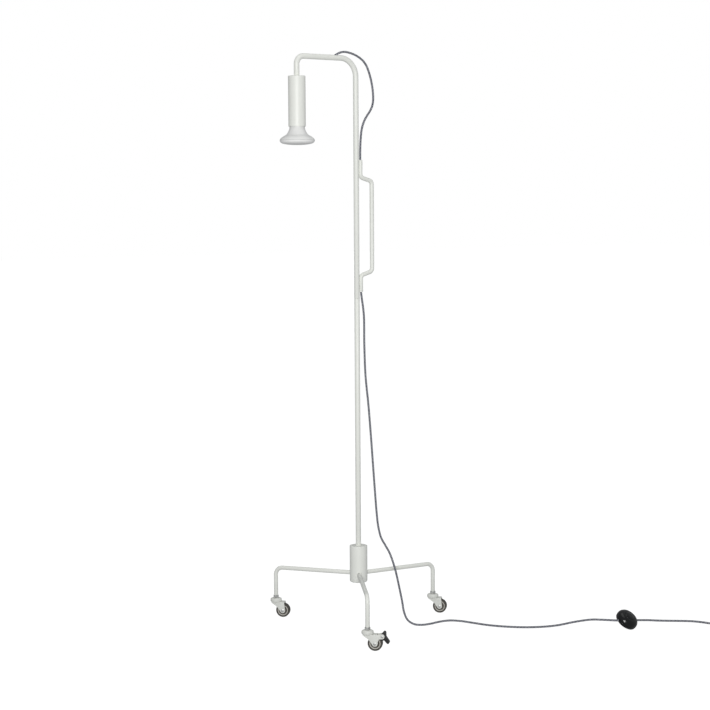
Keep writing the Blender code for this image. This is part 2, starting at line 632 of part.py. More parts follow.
def make_caster(lamp, key, degrees, braked):
    """One swivel caster: stem, nut, cap, yoke, axle, wheel and tyre."""
    name = f"caster_{key}"
    angle = math.radians(degrees)
    at = (LEG_REACH * math.cos(angle), LEG_REACH * math.sin(angle), 0)
    frame = empty(f"{name}_swivel_frame", at, lamp, TRAIL_ANGLE)
    wheel_frame = empty(f"{name}_wheel_frame", (TRAIL, 0, WHEEL_R), frame)
    head_top = YOKE_TOP_Z - YOKE_PLATE - GAP
    top = LEG_END_Z + STEM_REACH
    turned(f"{name}_stem", [
        (0, top), (STEM_R - 0.0008, top), (STEM_R, top - 0.0008), (STEM_R, head_top),
        (STEM_HEAD_R, head_top), (STEM_HEAD_R, head_top - STEM_HEAD_H * 0.6),
        (STEM_HEAD_R * 0.7, head_top - STEM_HEAD_H), (0, head_top - STEM_HEAD_H),
    ], frame, STEEL, steps=12)
    bore = STEM_R + GAP
    edge = 0.0022
    cap = [(bore, CAP_HEIGHT), (NUT_RADIUS + 0.001, CAP_HEIGHT)]
    cap += [(CAP_R - 0.0035, CAP_HEIGHT - 0.0008)]
    cap += arc((CAP_R - edge, CAP_HEIGHT - 0.0012 - edge), edge, 75, 0, 2)
    cap += [(CAP_R, 0.0012), (CAP_R - 0.0012, 0), (bore, 0)]
    turned(f"{name}_cap", cap, frame, YOKE_WHITE, (0, 0, CAP_Z), steps=18, closed=True)
    plate(f"{name}_nut", [circle(NUT_RADIUS, 6), circle(bore, 16)], NUT_HEIGHT, frame,
          STEEL, (0, 0, NUT_Z + NUT_HEIGHT / 2), (0, 0, math.radians(15)))
    make_yoke(name, frame, wheel_frame, braked)
    make_rivet(f"{name}_axle", wheel_frame, (0, 0, 0), AXLE_R, AXLE_HEAD_R)
    make_wheel(name, wheel_frame)
    if braked:
        make_pedal(name, wheel_frame)


# ---------------------------------------------------------------- head
def make_head(lamp):
    """Casing, nipple, nut, lampholder and bulb, one below the other."""
    head = empty("head_frame", (-HEAD_REACH, 0, 0), lamp)
    top, low, wall = CASING_TOP_Z, CASING_LOW_Z, CASING_WALL
    inner = CASING_R - wall
    shoulder = top - CASING_CROWN
    hole = NIPPLE_R + GAP
    outer = [(hole, top), (POLE_R + 0.002, top), (CASING_R * 0.7, top - CASING_CROWN * 0.35)]
    outer += arc((CASING_R - 0.002, shoulder - 0.002), 0.002, 80, 0, 4)
    inside = [(inner, low), (inner, shoulder - 0.002), (inner - 0.002, shoulder - wall),
              (CASING_R * 0.7 - 0.001, top - CASING_CROWN * 0.35 - wall), (hole, top - wall)]
    turned("head_casing", outer + [(CASING_R, low)] + inside, head, ENAMEL, steps=24, closed=True)

    nipple_low = top - NIPPLE_BELOW
    collar_r = POLE_R - POLE_WALL - GAP
    turned("head_nipple", [
        (collar_r, top + NIPPLE_ABOVE), (collar_r, top + GAP), (NIPPLE_R, top + GAP),
        (NIPPLE_R, nipple_low), (NIPPLE_BORE_R, nipple_low), (NIPPLE_BORE_R, top + NIPPLE_ABOVE),
    ], head, STEEL, steps=16, closed=True)
    nut_z = top - wall - GAP - LOCK_NUT_H / 2
    plate("head_lock_nut", [circle(LOCK_NUT_RADIUS, 6), circle(NIPPLE_R + GAP, 16)], LOCK_NUT_H,
          head, STEEL, (0, 0, nut_z))

    bulb_top = BULB_BOTTOM_Z + BULB_LENGTH
    mouth = bulb_top - BULB_CAP_H + 0.0003
    body_top = mouth + HOLDER_LENGTH
    bore, roof = HOLDER_BORE_R, bulb_top + GAP
    turned("lampholder_body", [
        (0.003, body_top), (HOLDER_R - 0.001, body_top), (HOLDER_R, body_top - 0.001),
        (HOLDER_R, mouth + 0.001), (HOLDER_R - 0.001, mouth), (bore, mouth), (bore, roof),
        (0.003, roof),
    ], head, HOLDER, steps=20, closed=True)
    cap_low = body_top + GAP
    cap_top = cap_low + HOLDER_CAP_H
    ceiling = cap_low + 0.006
    turned("lampholder_cap", [
        (NIPPLE_R + GAP, cap_top), (0.0085, cap_top), (0.0095, cap_top - 0.007),
        (HOLDER_R - 0.003, cap_low + 0.0085), (HOLDER_R, cap_low + 0.0055), (HOLDER_R, cap_low),
        (HOLDER_R - 0.003, cap_low), (HOLDER_R - 0.003, ceiling - 0.001), (NIPPLE_R + GAP, ceiling),
    ], head, HOLDER, steps=20, closed=True)

    neck_z = bulb_top - BULB_CAP_H
    turned("bulb_cap", [
        (0, bulb_top), (0.0035, bulb_top), (0.0045, bulb_top - 0.002), (0.0105, bulb_top - 0.0045),
        (BULB_CAP_R, bulb_top - 0.007), (BULB_CAP_R, neck_z + 0.0008), (0, neck_z + 0.0008),
    ], head, BRASS, steps=20)
    rim_z = BULB_BOTTOM_Z + BULB_RIM
    neck_r = BULB_CAP_R - GAP
    throat_r = CASING_R - CASING_WALL - BULB_NECK_ROOM
    flare = [(0.539, 0.0222), (0.665, 0.0152), (0.836, 0.0098), (0.949, 0.0044), (0.987, 0.0018)]
    outer = [(neck_r, neck_z + GAP), (neck_r + 0.0022, neck_z - 0.008),
             (neck_r + 0.0052, neck_z - 0.026), (throat_r - 0.0014, CASING_LOW_Z + 0.004),
             (throat_r, CASING_LOW_Z - 0.006)]
    outer += [(BULB_R * r, rim_z + z) for r, z in flare] + [(BULB_R, rim_z)]
    inside = [(BULB_R - 2 * BULB_WALL, rim_z)]
    inside += [(BULB_R * r - k * BULB_WALL, rim_z + z - 0.0014)
               for (r, z), k in zip(flare[3::-1], (1.7, 1.4, 1, 1))]
    inside += [(throat_r - 0.0014 - BULB_WALL, CASING_LOW_Z),
               (neck_r + 0.0022 - BULB_WALL, neck_z - 0.009), (neck_r - BULB_WALL, neck_z + GAP)]
    turned("bulb_housing", outer + inside, head, BULB_WHITE, steps=24, closed=True)
    board_r = 0.76 * BULB_R
    turned("bulb_led_board", [
        (0, rim_z + 0.0080), (board_r, rim_z + 0.0080), (board_r, rim_z + 0.0064),
        (0, rim_z + 0.0064),
    ], head, BOARD, steps=24)
    lens_top = rim_z - GAP
    dome = [(0.985, 0.0030), (0.931, 0.0060), (0.832, 0.0083), (0.653, 0.0102), (0.379, 0.0117)]
    lens = [(BULB_R - 2 * BULB_WALL, lens_top), (BULB_R, lens_top)]
    lens += [(BULB_R * r, lens_top - z) for r, z in dome] + [(0, BULB_BOTTOM_Z)]
    hollow_side = [(0.379, 0.0100), (0.653, 0.0084), (0.821, 0.0063)]
    inner_face = [(0, BULB_BOTTOM_Z + 0.0016)]
    inner_face += [(BULB_R * r, lens_top - z) for r, z in hollow_side]
    turned("bulb_diffuser", lens + inner_face, head, DIFFUSER, steps=24, closed=True)
    return nipple_low


def make_inner_leads(lamp, lead_end_z):
    """The lead inside the arm, and the stretch that passes through the handle."""
    way = Vector((math.cos(LEAD_HOLE_SLOPE), 0, math.sin(LEAD_HOLE_SLOPE)))
    out = Vector((LEAD_HOLE_X, 0, LAMP_HEIGHT)) - way * GAP
    bend_at = out - way * ((LAMP_HEIGHT - ARM_Z) / way.z)
    bend_at.z = ARM_Z
    path = rounded_path([out, bend_at, (-HEAD_REACH, 0, ARM_Z), (-HEAD_REACH, 0, lead_end_z)],
                        [0.020, DROP_BEND_R], steps=5)
    rod("arm_lead", path, LEAD_R, lamp, TEXTILE)
    rod("handle_lead", handle_path(), LEAD_R, lamp, TEXTILE)


# ---------------------------------------------------------------- lead, switch and plug
def make_switch(lamp):
    """Foot switch: base, cover, button and contact block, leaning on its rim."""
    y = SWITCH_AXIS.cross(SWITCH_LEAD_WAY).normalized()
    x = y.cross(SWITCH_AXIS)
    turn = Matrix((x, y, SWITCH_AXIS)).transposed()
    outer, wall = SWITCH_R, SWITCH_WALL
    base_top = SWITCH_BASE_H
    base = [(outer - 0.0015, base_top), (outer, base_top - 0.001), (outer - 0.0002, 0.0030),
            (outer - 0.0012, 0.0010), (outer - 0.0032, 0), (0, 0)]
    inside = [(0, wall), (outer - wall - 0.002, wall), (outer - wall - 0.0015, base_top)]
    lean = math.sqrt(1 - SWITCH_AXIS.z ** 2)
    lift = max(r * lean - z * SWITCH_AXIS.z for r, z in base)
    frame = empty("switch_frame", (*SWITCH_AT, lift), lamp)
    frame.rotation_euler = turn.to_euler()
    tray = turned("switch_base", base + inside, frame, BLACK, steps=24, closed=True)
    way_through = along(Vector((-outer - 0.01, 0, SWITCH_LEAD_H)), (1, 0, 0))
    hole = cylinder_cutter("switch_lead_hole", LEAD_R + LEAD_CLEAR, 2 * outer + 0.02, frame,
                           way_through, 16)
    combine(tray, hole)
    rim = SWITCH_BUTTON_R + GAP
    top = SWITCH_HEIGHT
    low = base_top + GAP
    dome = [(0.672, 0.0010), (0.819, 0.0036), (0.931, 0.0080)]
    under_dome = [(0.875, 0.0085), (0.766, 0.0052), (0.641, 0.0031)]
    cover = [(rim, top), (rim + 0.002, top)] + [(outer * r, top - z) for r, z in dome]
    cover += [(outer - 0.0005, low + 0.0030), (outer - 0.0004, low)]
    under = [(outer - wall - 0.001, low)] + [(outer * r, top - z) for r, z in under_dome]
    under += [(rim, top - 0.0022)]
    turned("switch_cover", cover + under, frame, BLACK, steps=24, closed=True)
    module_top = top - 0.0045 - SWITCH_TRAVEL - 0.0010
    turned("switch_button", [
        (0, top + 0.0030), (0.0060, top + 0.0028), (0.0110, top + 0.0018),
        (SWITCH_BUTTON_R - 0.0012, top + 0.0006), (SWITCH_BUTTON_R, top - 0.0008),
        (SWITCH_BUTTON_R, top - 0.0045), (0, top - 0.0045),
    ], frame, BLACK, steps=20)
    block = 0.0085
    shape_low = wall + 0.0085
    mesh = bpy.data.meshes.new("switch_contact_block")
    shape = bmesh.new()
    size = Matrix.Diagonal((2 * block, 2 * block, module_top - shape_low, 1))
    middle = Matrix.Translation((0, 0, (module_top + shape_low) / 2))
    bmesh.ops.create_cube(shape, size=1.0, matrix=middle @ size)
    shape.to_mesh(mesh)
    shape.free()
    place("switch_contact_block", mesh, frame, HOLDER)


def make_coil(lamp):
    """The spare lead's coil, as a turned ring lying on the floor."""
    half = COIL_COLUMNS * LEAD_R
    height = COIL_LAYERS * 2 * LEAD_R
    inner, outer, edge = COIL_MEAN_R - half, COIL_MEAN_R + half, 0.002
    ring = arc((outer - edge, height - edge), edge, 90, 0, 1)
    ring += arc((outer - edge, edge), edge, 0, -90, 1)
    ring += arc((inner + edge, edge), edge, -90, -180, 1)
    ring += arc((inner + edge, height - edge), edge, 180, 90, 1)
    turned("cord_coil", ring, lamp, TEXTILE, (*COIL_AT, 0), steps=24, closed=True)


def make_plug(lamp):
    """Flat two-pin plug lying on its side of the coil, pins away from the lead."""
    frame = empty("plug_frame", (*PLUG_AT, PLUG_BODY_H / 2), lamp, PLUG_TURN)
    back = PLUG_RELIEF
    front = back + PLUG_BODY_LENGTH
    half = PLUG_BODY_WIDTH / 2
    outline = [(back, -0.0065), (back + 0.010, -0.0095), (back + 0.018, -half + 0.0015)]
    outline += [(back + 0.0205, -half), (front - 0.0015, -half), (front, -half + 0.0015)]
    outline += [(x, -y) for x, y in outline[::-1]]
    body = as_mesh(plate("plug_body", [outline], PLUG_BODY_H, frame, BLACK))
    cone = turned("plug_relief_shape", [
        (0, back + 0.003), (0.0056, back + 0.003), (0.0050, back - 0.006), (0.0042, 0.0), (0, 0.0),
    ], frame, None, rotation=(0, math.radians(90), 0), steps=20, group=CUTTERS)
    cone.hide_render = True
    cone.display_type = "WIRE"
    combine(body, cone, "UNION")
    for name, side in (("plug_pin_left", 1), ("plug_pin_right", -1)):
        turned(name, [
            (0, PLUG_PIN_LENGTH), (PLUG_PIN_R * 0.6, PLUG_PIN_LENGTH),
            (PLUG_PIN_R, PLUG_PIN_LENGTH - 0.0012), (PLUG_PIN_R, 0), (0, 0),
        ], frame, BRASS, (front + GAP, side * PLUG_PIN_SPACING / 2, 0), (0, math.radians(90), 0),
            steps=12)


# ---------------------------------------------------------------- the lamp
lamp_frame = empty("lamp_frame", (FRAME_X, FRAME_Y, 0))
make_hub(lamp_frame)
make_pole(lamp_frame)
hollow("handle", handle_path(), HANDLE_R, HANDLE_WALL, lamp_frame, ENAMEL, resolution=3)
make_legs(lamp_frame)
for leg_key, leg_degrees in LEG_ANGLES.items():
    make_caster(lamp_frame, leg_key, leg_degrees, braked=leg_key == "c")
inner_lead_end = make_head(lamp_frame)
make_inner_leads(lamp_frame, inner_lead_end)
rod("cord_upper", smooth_route(UPPER_ROUTE, 0.016), LEAD_R, lamp_frame, TEXTILE)
rod("cord_lower", smooth_route(LOWER_ROUTE, 0.034), LEAD_R, lamp_frame, TEXTILE)
rod("cord_tail", smooth_route(TAIL_ROUTE, 0.028), LEAD_R, lamp_frame, TEXTILE)
make_switch(lamp_frame)
make_coil(lamp_frame)
make_plug(lamp_frame)
bpy.context.view_layer.update()
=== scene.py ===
# %% [markdown]
# # A pharmacy floor lamp on casters
# The real lamp is a few bent steel tubes, a turned hub and a handful of bought parts:
# casters, a reflector bulb, a textile lead, a foot switch and a plug. The model's solids
# already say where each of them is. This lesson makes each one again, finely enough
# to be looked at, and gives it the finish that the real one has.

# %% The frame of named pieces
from math import cos, pi, radians, sin, sqrt, tan

import bmesh
import bpy
from mathutils import Matrix, Vector
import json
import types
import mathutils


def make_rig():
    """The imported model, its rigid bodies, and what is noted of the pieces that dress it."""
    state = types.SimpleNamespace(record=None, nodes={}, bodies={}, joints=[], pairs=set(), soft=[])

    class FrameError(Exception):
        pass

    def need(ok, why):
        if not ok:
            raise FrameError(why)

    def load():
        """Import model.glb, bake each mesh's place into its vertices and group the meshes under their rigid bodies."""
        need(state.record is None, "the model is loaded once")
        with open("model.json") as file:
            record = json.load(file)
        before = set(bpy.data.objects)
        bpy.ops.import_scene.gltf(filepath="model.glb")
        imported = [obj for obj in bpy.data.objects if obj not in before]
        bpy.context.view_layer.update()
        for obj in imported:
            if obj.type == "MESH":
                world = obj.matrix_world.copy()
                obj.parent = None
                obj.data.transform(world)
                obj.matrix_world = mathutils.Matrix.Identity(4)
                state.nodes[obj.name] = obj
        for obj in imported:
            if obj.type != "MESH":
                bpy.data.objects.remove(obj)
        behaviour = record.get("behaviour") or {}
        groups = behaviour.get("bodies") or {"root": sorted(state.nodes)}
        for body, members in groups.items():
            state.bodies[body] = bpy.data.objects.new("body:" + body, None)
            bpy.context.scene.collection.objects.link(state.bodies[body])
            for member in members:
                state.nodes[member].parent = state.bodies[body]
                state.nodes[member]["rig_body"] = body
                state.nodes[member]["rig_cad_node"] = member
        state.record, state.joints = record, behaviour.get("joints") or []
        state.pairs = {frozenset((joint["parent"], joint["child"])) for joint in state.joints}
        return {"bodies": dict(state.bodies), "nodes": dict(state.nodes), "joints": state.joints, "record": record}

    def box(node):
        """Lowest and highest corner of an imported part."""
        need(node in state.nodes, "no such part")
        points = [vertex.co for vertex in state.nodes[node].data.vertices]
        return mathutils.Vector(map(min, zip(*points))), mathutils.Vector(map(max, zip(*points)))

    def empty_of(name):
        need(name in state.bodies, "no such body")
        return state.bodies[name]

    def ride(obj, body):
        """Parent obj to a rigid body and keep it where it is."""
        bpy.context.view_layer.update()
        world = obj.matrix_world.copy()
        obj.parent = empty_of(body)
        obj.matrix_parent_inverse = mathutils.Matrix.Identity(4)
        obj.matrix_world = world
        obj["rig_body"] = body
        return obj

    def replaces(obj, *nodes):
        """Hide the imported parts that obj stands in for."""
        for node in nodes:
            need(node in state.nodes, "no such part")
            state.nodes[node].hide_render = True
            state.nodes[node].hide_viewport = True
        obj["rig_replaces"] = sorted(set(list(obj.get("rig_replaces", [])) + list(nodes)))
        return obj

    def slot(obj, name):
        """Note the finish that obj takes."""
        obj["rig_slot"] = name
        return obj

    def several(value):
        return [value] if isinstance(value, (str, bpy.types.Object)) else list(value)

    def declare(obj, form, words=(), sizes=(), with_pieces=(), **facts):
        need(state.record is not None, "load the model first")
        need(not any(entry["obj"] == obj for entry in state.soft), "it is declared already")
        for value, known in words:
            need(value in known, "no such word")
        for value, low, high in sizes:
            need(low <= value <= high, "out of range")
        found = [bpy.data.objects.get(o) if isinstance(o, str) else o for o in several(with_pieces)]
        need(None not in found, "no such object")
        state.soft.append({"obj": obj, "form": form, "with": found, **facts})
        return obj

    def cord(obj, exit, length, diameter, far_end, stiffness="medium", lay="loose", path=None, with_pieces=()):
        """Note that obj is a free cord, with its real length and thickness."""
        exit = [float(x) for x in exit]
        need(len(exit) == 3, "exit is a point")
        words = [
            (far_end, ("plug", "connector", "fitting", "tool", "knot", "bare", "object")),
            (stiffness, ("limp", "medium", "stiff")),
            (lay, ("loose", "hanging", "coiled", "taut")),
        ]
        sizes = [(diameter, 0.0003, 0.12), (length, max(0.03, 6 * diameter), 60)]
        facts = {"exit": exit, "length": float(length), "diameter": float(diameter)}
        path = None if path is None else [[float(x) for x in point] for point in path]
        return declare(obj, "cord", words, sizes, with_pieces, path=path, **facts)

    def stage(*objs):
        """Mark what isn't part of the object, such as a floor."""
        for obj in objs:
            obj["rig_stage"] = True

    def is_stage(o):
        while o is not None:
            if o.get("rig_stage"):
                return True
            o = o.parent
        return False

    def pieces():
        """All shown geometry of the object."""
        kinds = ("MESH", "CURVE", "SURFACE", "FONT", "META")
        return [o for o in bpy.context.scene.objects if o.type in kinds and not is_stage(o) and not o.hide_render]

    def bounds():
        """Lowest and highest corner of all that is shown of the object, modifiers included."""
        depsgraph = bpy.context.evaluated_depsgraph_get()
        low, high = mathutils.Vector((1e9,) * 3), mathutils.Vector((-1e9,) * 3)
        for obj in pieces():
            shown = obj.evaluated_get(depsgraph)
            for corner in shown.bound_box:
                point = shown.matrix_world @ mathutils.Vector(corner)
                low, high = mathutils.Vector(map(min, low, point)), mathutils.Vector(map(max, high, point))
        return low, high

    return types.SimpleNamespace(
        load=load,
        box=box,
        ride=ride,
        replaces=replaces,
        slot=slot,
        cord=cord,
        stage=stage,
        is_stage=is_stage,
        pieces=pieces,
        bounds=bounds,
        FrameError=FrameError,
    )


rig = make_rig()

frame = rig.load()
NODES = frame["nodes"]
CAD_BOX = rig.bounds()
print("nodes", len(NODES), "bodies", len(frame["bodies"]))

# %% [markdown]
# The pole is the lamp's own Z axis, so every size below is measured from it. Its place
# in the frame is the middle of the lower tube's box.

# %% Where the lamp's own axis stands
POLE_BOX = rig.box("lower_pole")
LAMP = Vector(((POLE_BOX[0][0] + POLE_BOX[1][0]) / 2, (POLE_BOX[0][1] + POLE_BOX[1][1]) / 2, 0))
LAMP_PLACE = Matrix.Translation(LAMP)
GAP = 0.0003              # between faces that touch on the real lamp


def shift(x, y, z):
    """A move, to be multiplied into a place."""
    return Matrix.Translation((x, y, z))


def spin(degrees, axis):
    """A turn round an axis, to be multiplied into a place."""
    return Matrix.Rotation(radians(degrees), 4, axis)


print("pole axis", [round(x, 4) for x in LAMP])

# %% [markdown]
# ## Stage, light and camera
# A white lamp on white reads by its shading alone. The sky gives an even fill, a large
# soft box beside the camera makes each tube brightest along its middle, and one overhead
# keeps the floor pale.

# %% Colours and nodes


def linear(code, alpha=1.0):
    """An sRGB hex colour as the linear values that shaders use."""
    channels = [int(code[k:k + 2], 16) / 255 for k in (1, 3, 5)]
    return (*[c / 12.92 if c <= 0.04045 else ((c + 0.055) / 1.055) ** 2.4 for c in channels], alpha)


def add(tree, kind, settings=None, values=None, links=None):
    """A node with its settings, its sockets' values, and links into its sockets."""
    node = tree.nodes.new(kind)
    for key, value in (settings or {}).items():
        setattr(node, key, value)
    for key, value in (values or {}).items():
        node.inputs[key].default_value = value
    link(tree, node, links or {})
    return node


def link(tree, node, links):
    """Links each source into the node's socket of that key."""
    for key, source in links.items():
        tree.links.new(source, node.inputs[key])


def placed(name, data):
    """A new object in the scene for a mesh, a light or a camera."""
    made = bpy.data.objects.new(name, data)
    bpy.context.scene.collection.objects.link(made)
    return made


print("linear mid grey", round(linear("#808080")[0], 3))

# %% The sky: white to look at, softer as a light
world = bpy.data.worlds.new("studio")
bpy.context.scene.world = world
world.use_nodes = True
sky = world.node_tree
sky.nodes.clear()
seen = add(sky, "ShaderNodeBackground", values={"Color": linear("#FFFFFF"), "Strength": 1.0})
fill = add(sky, "ShaderNodeBackground", values={"Color": linear("#FAFCFF"), "Strength": 0.40})
rays = add(sky, "ShaderNodeLightPath")
both = add(sky, "ShaderNodeMixShader", links={
    0: rays.outputs["Is Camera Ray"], 1: fill.outputs[0], 2: seen.outputs[0]})
add(sky, "ShaderNodeOutputWorld", links={"Surface": both.outputs[0]})
bpy.context.scene.view_settings.view_transform = "Standard"
print("sky made")

# %% The soft boxes


def soft_box(name, place, aim, size, watts):
    """A square area light at place, turned towards aim, unseen by the camera."""
    light = bpy.data.lights.new(name, "AREA")
    light.shape = "SQUARE"
    light.size = size
    light.energy = watts
    made = placed(name, light)
    made.location = place
    made.rotation_euler = (Vector(aim) - Vector(place)).to_track_quat("-Z", "Y").to_euler()
    made.visible_camera = False


soft_box("key_box", (-2.2, -3.0, 1.5), (0, 0, 0.7), 1.3, 82)
soft_box("top_box", (0.5, -0.3, 4.2), (0.3, -0.2, 0), 3.0, 22)
print("lights", len([o for o in bpy.data.objects if o.type == "LIGHT"]))

# %% The camera: a long lens, slightly above the middle of the lamp
camera = bpy.data.cameras.new("camera")
camera.lens = 84.9
camera.sensor_width = 36.0
camera_object = placed("camera", camera)
bpy.context.scene.camera = camera_object
LOOK = Vector((0.5701, 0.8166, -0.0905))
ROLL = radians(-0.35)
camera_object.location = LAMP + Vector((-2.6806, -3.8283, 1.1967))
camera_object.rotation_euler = (
    LOOK.to_track_quat("-Z", "Y").to_matrix() @ Matrix.Rotation(ROLL, 3, "Z")).to_euler()
print("camera", [round(x, 3) for x in camera_object.location])

# %% [markdown]
# ## Finishes
# Each finish starts from what the real surface is. Its grain is drawn in Object
# coordinates, at a size worked out from millimetres: a noise texture of scale S has
# features about 1 / S metres across.

# %% A finish: one Principled shader, with its grain as a bump and its mottle as colour


def new_material(name, values):
    """A material with its tree and its Principled shader, set to these values."""
    made = bpy.data.materials.new(name)
    made.use_nodes = True
    shader = made.node_tree.nodes["Principled BSDF"]
    for key, value in values.items():
        shader.inputs[key].default_value = value
    return made, made.node_tree, shader


def mixed(tree, factor, colour, other):
    """The colour output of a mix between two hex colours."""
    return add(tree, "ShaderNodeMix", {"data_type": "RGBA"},
               {6: linear(colour), 7: linear(other)}, {0: factor}).outputs[2]


def finish(name, colour, darker, roughness, metallic=0.0, grain_mm=1.0, grain_depth=0.02,
           mottle_mm=60.0, spread=0.06, sockets=None):
    """A material whose colour, roughness and bump all vary, on Object coordinates."""
    made, tree, shader = new_material(name, {"Metallic": metallic, **(sockets or {})})
    place = add(tree, "ShaderNodeTexCoord")
    mottle = add(tree, "ShaderNodeTexNoise", values={"Scale": 1000 / mottle_mm, "Detail": 3.0},
                 links={"Vector": place.outputs["Object"]})
    grain = add(tree, "ShaderNodeTexNoise", values={"Scale": 1000 / grain_mm, "Detail": 2.0},
                links={"Vector": place.outputs["Object"]})
    rough = add(tree, "ShaderNodeMapRange", values={
        "From Min": 0.25, "From Max": 0.75, "To Min": roughness - spread,
        "To Max": roughness + spread}, links={"Value": mottle.outputs["Fac"]})
    bump = add(tree, "ShaderNodeBump", values={"Strength": 1.0, "Distance": grain_depth / 1000},
               links={"Height": grain.outputs["Fac"]})
    link(tree, shader, {"Base Color": mixed(tree, mottle.outputs["Fac"], colour, darker),
                        "Roughness": rough.outputs[0], "Normal": bump.outputs[0]})
    return made


print("finish ready")

# %% [markdown]
# **Powder coat.** Polyester powder, sprayed and baked: an off-white satin skin with a
# faint orange peel about a millimetre across. The moulded nylon of the casters is a
# shade greyer and finer in grain.

# %% Painted steel and moulded nylon
POWDER_COAT = finish("powder_coat_off_white", "#E9EAE4", "#E3E4DD", 0.42, grain_mm=1.3,
                     grain_depth=0.035, sockets={"IOR": 1.5})
CASTER_NYLON = finish("moulded_nylon_off_white", "#E0E1DB", "#D6D7D0", 0.5, grain_mm=0.6,
                      grain_depth=0.02, mottle_mm=25)
WHEEL_NYLON = finish("moulded_nylon_grey", "#BDBAB2", "#AFABA3", 0.48, grain_mm=0.5,
                     grain_depth=0.02, mottle_mm=12)
# Painted shade: a dark grey for the rings that darken each wheel recess where shade falls.
RECESS_SHADE_RING = finish("moulded_nylon_dark_grey", "#5E5A53", "#534F49", 0.55, grain_mm=0.5,
                   mottle_mm=10)
print("painted and moulded finishes ready")

# %% [markdown]
# **Zinc plate and brass.** Zinc plating is a bright grey with faint yellow and blue
# clouds; the pins and the bulb's cap are plain brass. Both are turned, so their grain
# is fine and their roughness uneven. **Rubber** is the tyres' dark, matt compound.

# %% Metals and rubber
ZINC = finish("zinc_plated_steel", "#DCDBD5", "#CACCCD", 0.52, 1.0, 0.4, 0.01, 6, 0.08)
BRASS = finish("plain_brass", "#D9BC74", "#C9A862", 0.27, 1.0, 0.5, 0.008, 8, 0.08)
TYRE_RUBBER = finish("thermoplastic_rubber", "#4A4740", "#3E3B35", 0.7, grain_mm=0.7,
                     grain_depth=0.04, mottle_mm=14)
print("metals and rubber ready")

# %% [markdown]
# **Black ABS.** The foot switch and the plug are polished ABS, and the brake pedal is
# the same plastic from a duller mould. **The bulb** has a sprayed, satin white housing
# and a frosted face. **Thermoset** is the lampholder's hard, glossy, creamy white.

# %% Plastics, the bulb and the holder
BLACK_ABS = finish("polished_black_abs", "#070808", "#0B0C0D", 0.17, grain_mm=3.0,
                   grain_depth=0.004, mottle_mm=9, spread=0.04,
                   sockets={"Specular IOR Level": 0.4})
PEDAL_NYLON = finish("moulded_nylon_black", "#1B1B1A", "#252423", 0.42, grain_mm=0.5,
                     grain_depth=0.03, mottle_mm=8)
BULB_SATIN = finish("sprayed_bulb_white", "#E6E6E3", "#E0E0DE", 0.38, grain_mm=0.9,
                    grain_depth=0.012, mottle_mm=40)
BULB_FROST = finish("frosted_bulb_face", "#F2F2F0", "#EBEBE9", 0.6, grain_mm=0.35,
                    grain_depth=0.02, mottle_mm=20)
THERMOSET = finish("cream_thermoset", "#E6E3D6", "#DEDACB", 0.25, grain_mm=1.5, mottle_mm=15)
BOARD_WHITE = finish("solder_mask_white", "#DDE0DC", "#D2D6D1", 0.45, grain_mm=0.5,
                     mottle_mm=6)
print("plastics ready")

# %% [markdown]
# **The textile lead.** A cotton braid over the two insulated cores: navy carriers with
# white ones worked in as a zigzag that repeats about every four millimetres. The braid
# follows the lead, so its pattern reads the lead's own UV map: U goes once round, and V
# is metres along. The yarns are 0.9 mm apart, drawn as crossing ridges.

# %% The braid
ZIGZAG_MM = 4.0
YARN_MM = 0.9
YARNS_ROUND = 12          # carriers that lie each way round the lead


def wave(tree, along, round_, turns, pitch_mm):
    """A sine that advances along the lead and turns round it, from -1 to 1."""
    forward = add(tree, "ShaderNodeMath", {"operation": "MULTIPLY"}, {1: 2000 * pi / pitch_mm},
                  {0: along})
    total = add(tree, "ShaderNodeMath", {"operation": "MULTIPLY_ADD"}, {1: turns * 2 * pi},
                {0: round_, 2: forward.outputs[0]})
    return add(tree, "ShaderNodeMath", {"operation": "SINE"}, links={0: total.outputs[0]})


BRAID, braid, yarn_shader = new_material("cotton_braid_navy_white", {
    "Sheen Weight": 0.35, "Sheen Roughness": 0.5, "Specular IOR Level": 0.25})
lead_uv = add(braid, "ShaderNodeUVMap", {"uv_map": "lead_uv"})
parts = add(braid, "ShaderNodeSeparateXYZ", links={0: lead_uv.outputs[0]})
around, metres = parts.outputs[0], parts.outputs[1]
fold = add(braid, "ShaderNodeMath", {"operation": "PINGPONG"}, {1: 0.25}, {0: around})
zigzag = wave(braid, metres, fold.outputs[0], 3.2, ZIGZAG_MM)
white_yarn = add(braid, "ShaderNodeMapRange", {"interpolation_type": "SMOOTHSTEP"},
                 {"From Min": 0.45, "From Max": 0.7}, {"Value": zigzag.outputs[0]})
left_lay = wave(braid, metres, around, YARNS_ROUND, YARN_MM * 2)
right_lay = wave(braid, metres, around, -YARNS_ROUND, YARN_MM * 2)
lift = add(braid, "ShaderNodeMath", {"operation": "MULTIPLY"}, links={
    0: left_lay.outputs[0], 1: right_lay.outputs[0]})
fibres = add(braid, "ShaderNodeTexNoise", values={"Scale": 900.0, "Detail": 3.0},
             links={"Vector": add(braid, "ShaderNodeTexCoord").outputs["Object"]})
navy = mixed(braid, fibres.outputs["Fac"], "#171A28", "#282C40")
white = mixed(braid, fibres.outputs["Fac"], "#D9DADF", "#BFC1CA")
dyed = add(braid, "ShaderNodeMix", {"data_type": "RGBA"}, links={
    0: white_yarn.outputs[0], 6: navy, 7: white})
yarn_rough = add(braid, "ShaderNodeMapRange", values={"To Min": 0.75, "To Max": 0.95},
                 links={"Value": fibres.outputs["Fac"]})
ridges = add(braid, "ShaderNodeBump", values={"Strength": 0.8, "Distance": 0.00018},
             links={"Height": lift.outputs[0]})
link(braid, yarn_shader, {"Base Color": dyed.outputs[2], "Roughness": yarn_rough.outputs[0],
                          "Normal": ridges.outputs[0]})
print("materials", len(bpy.data.materials))

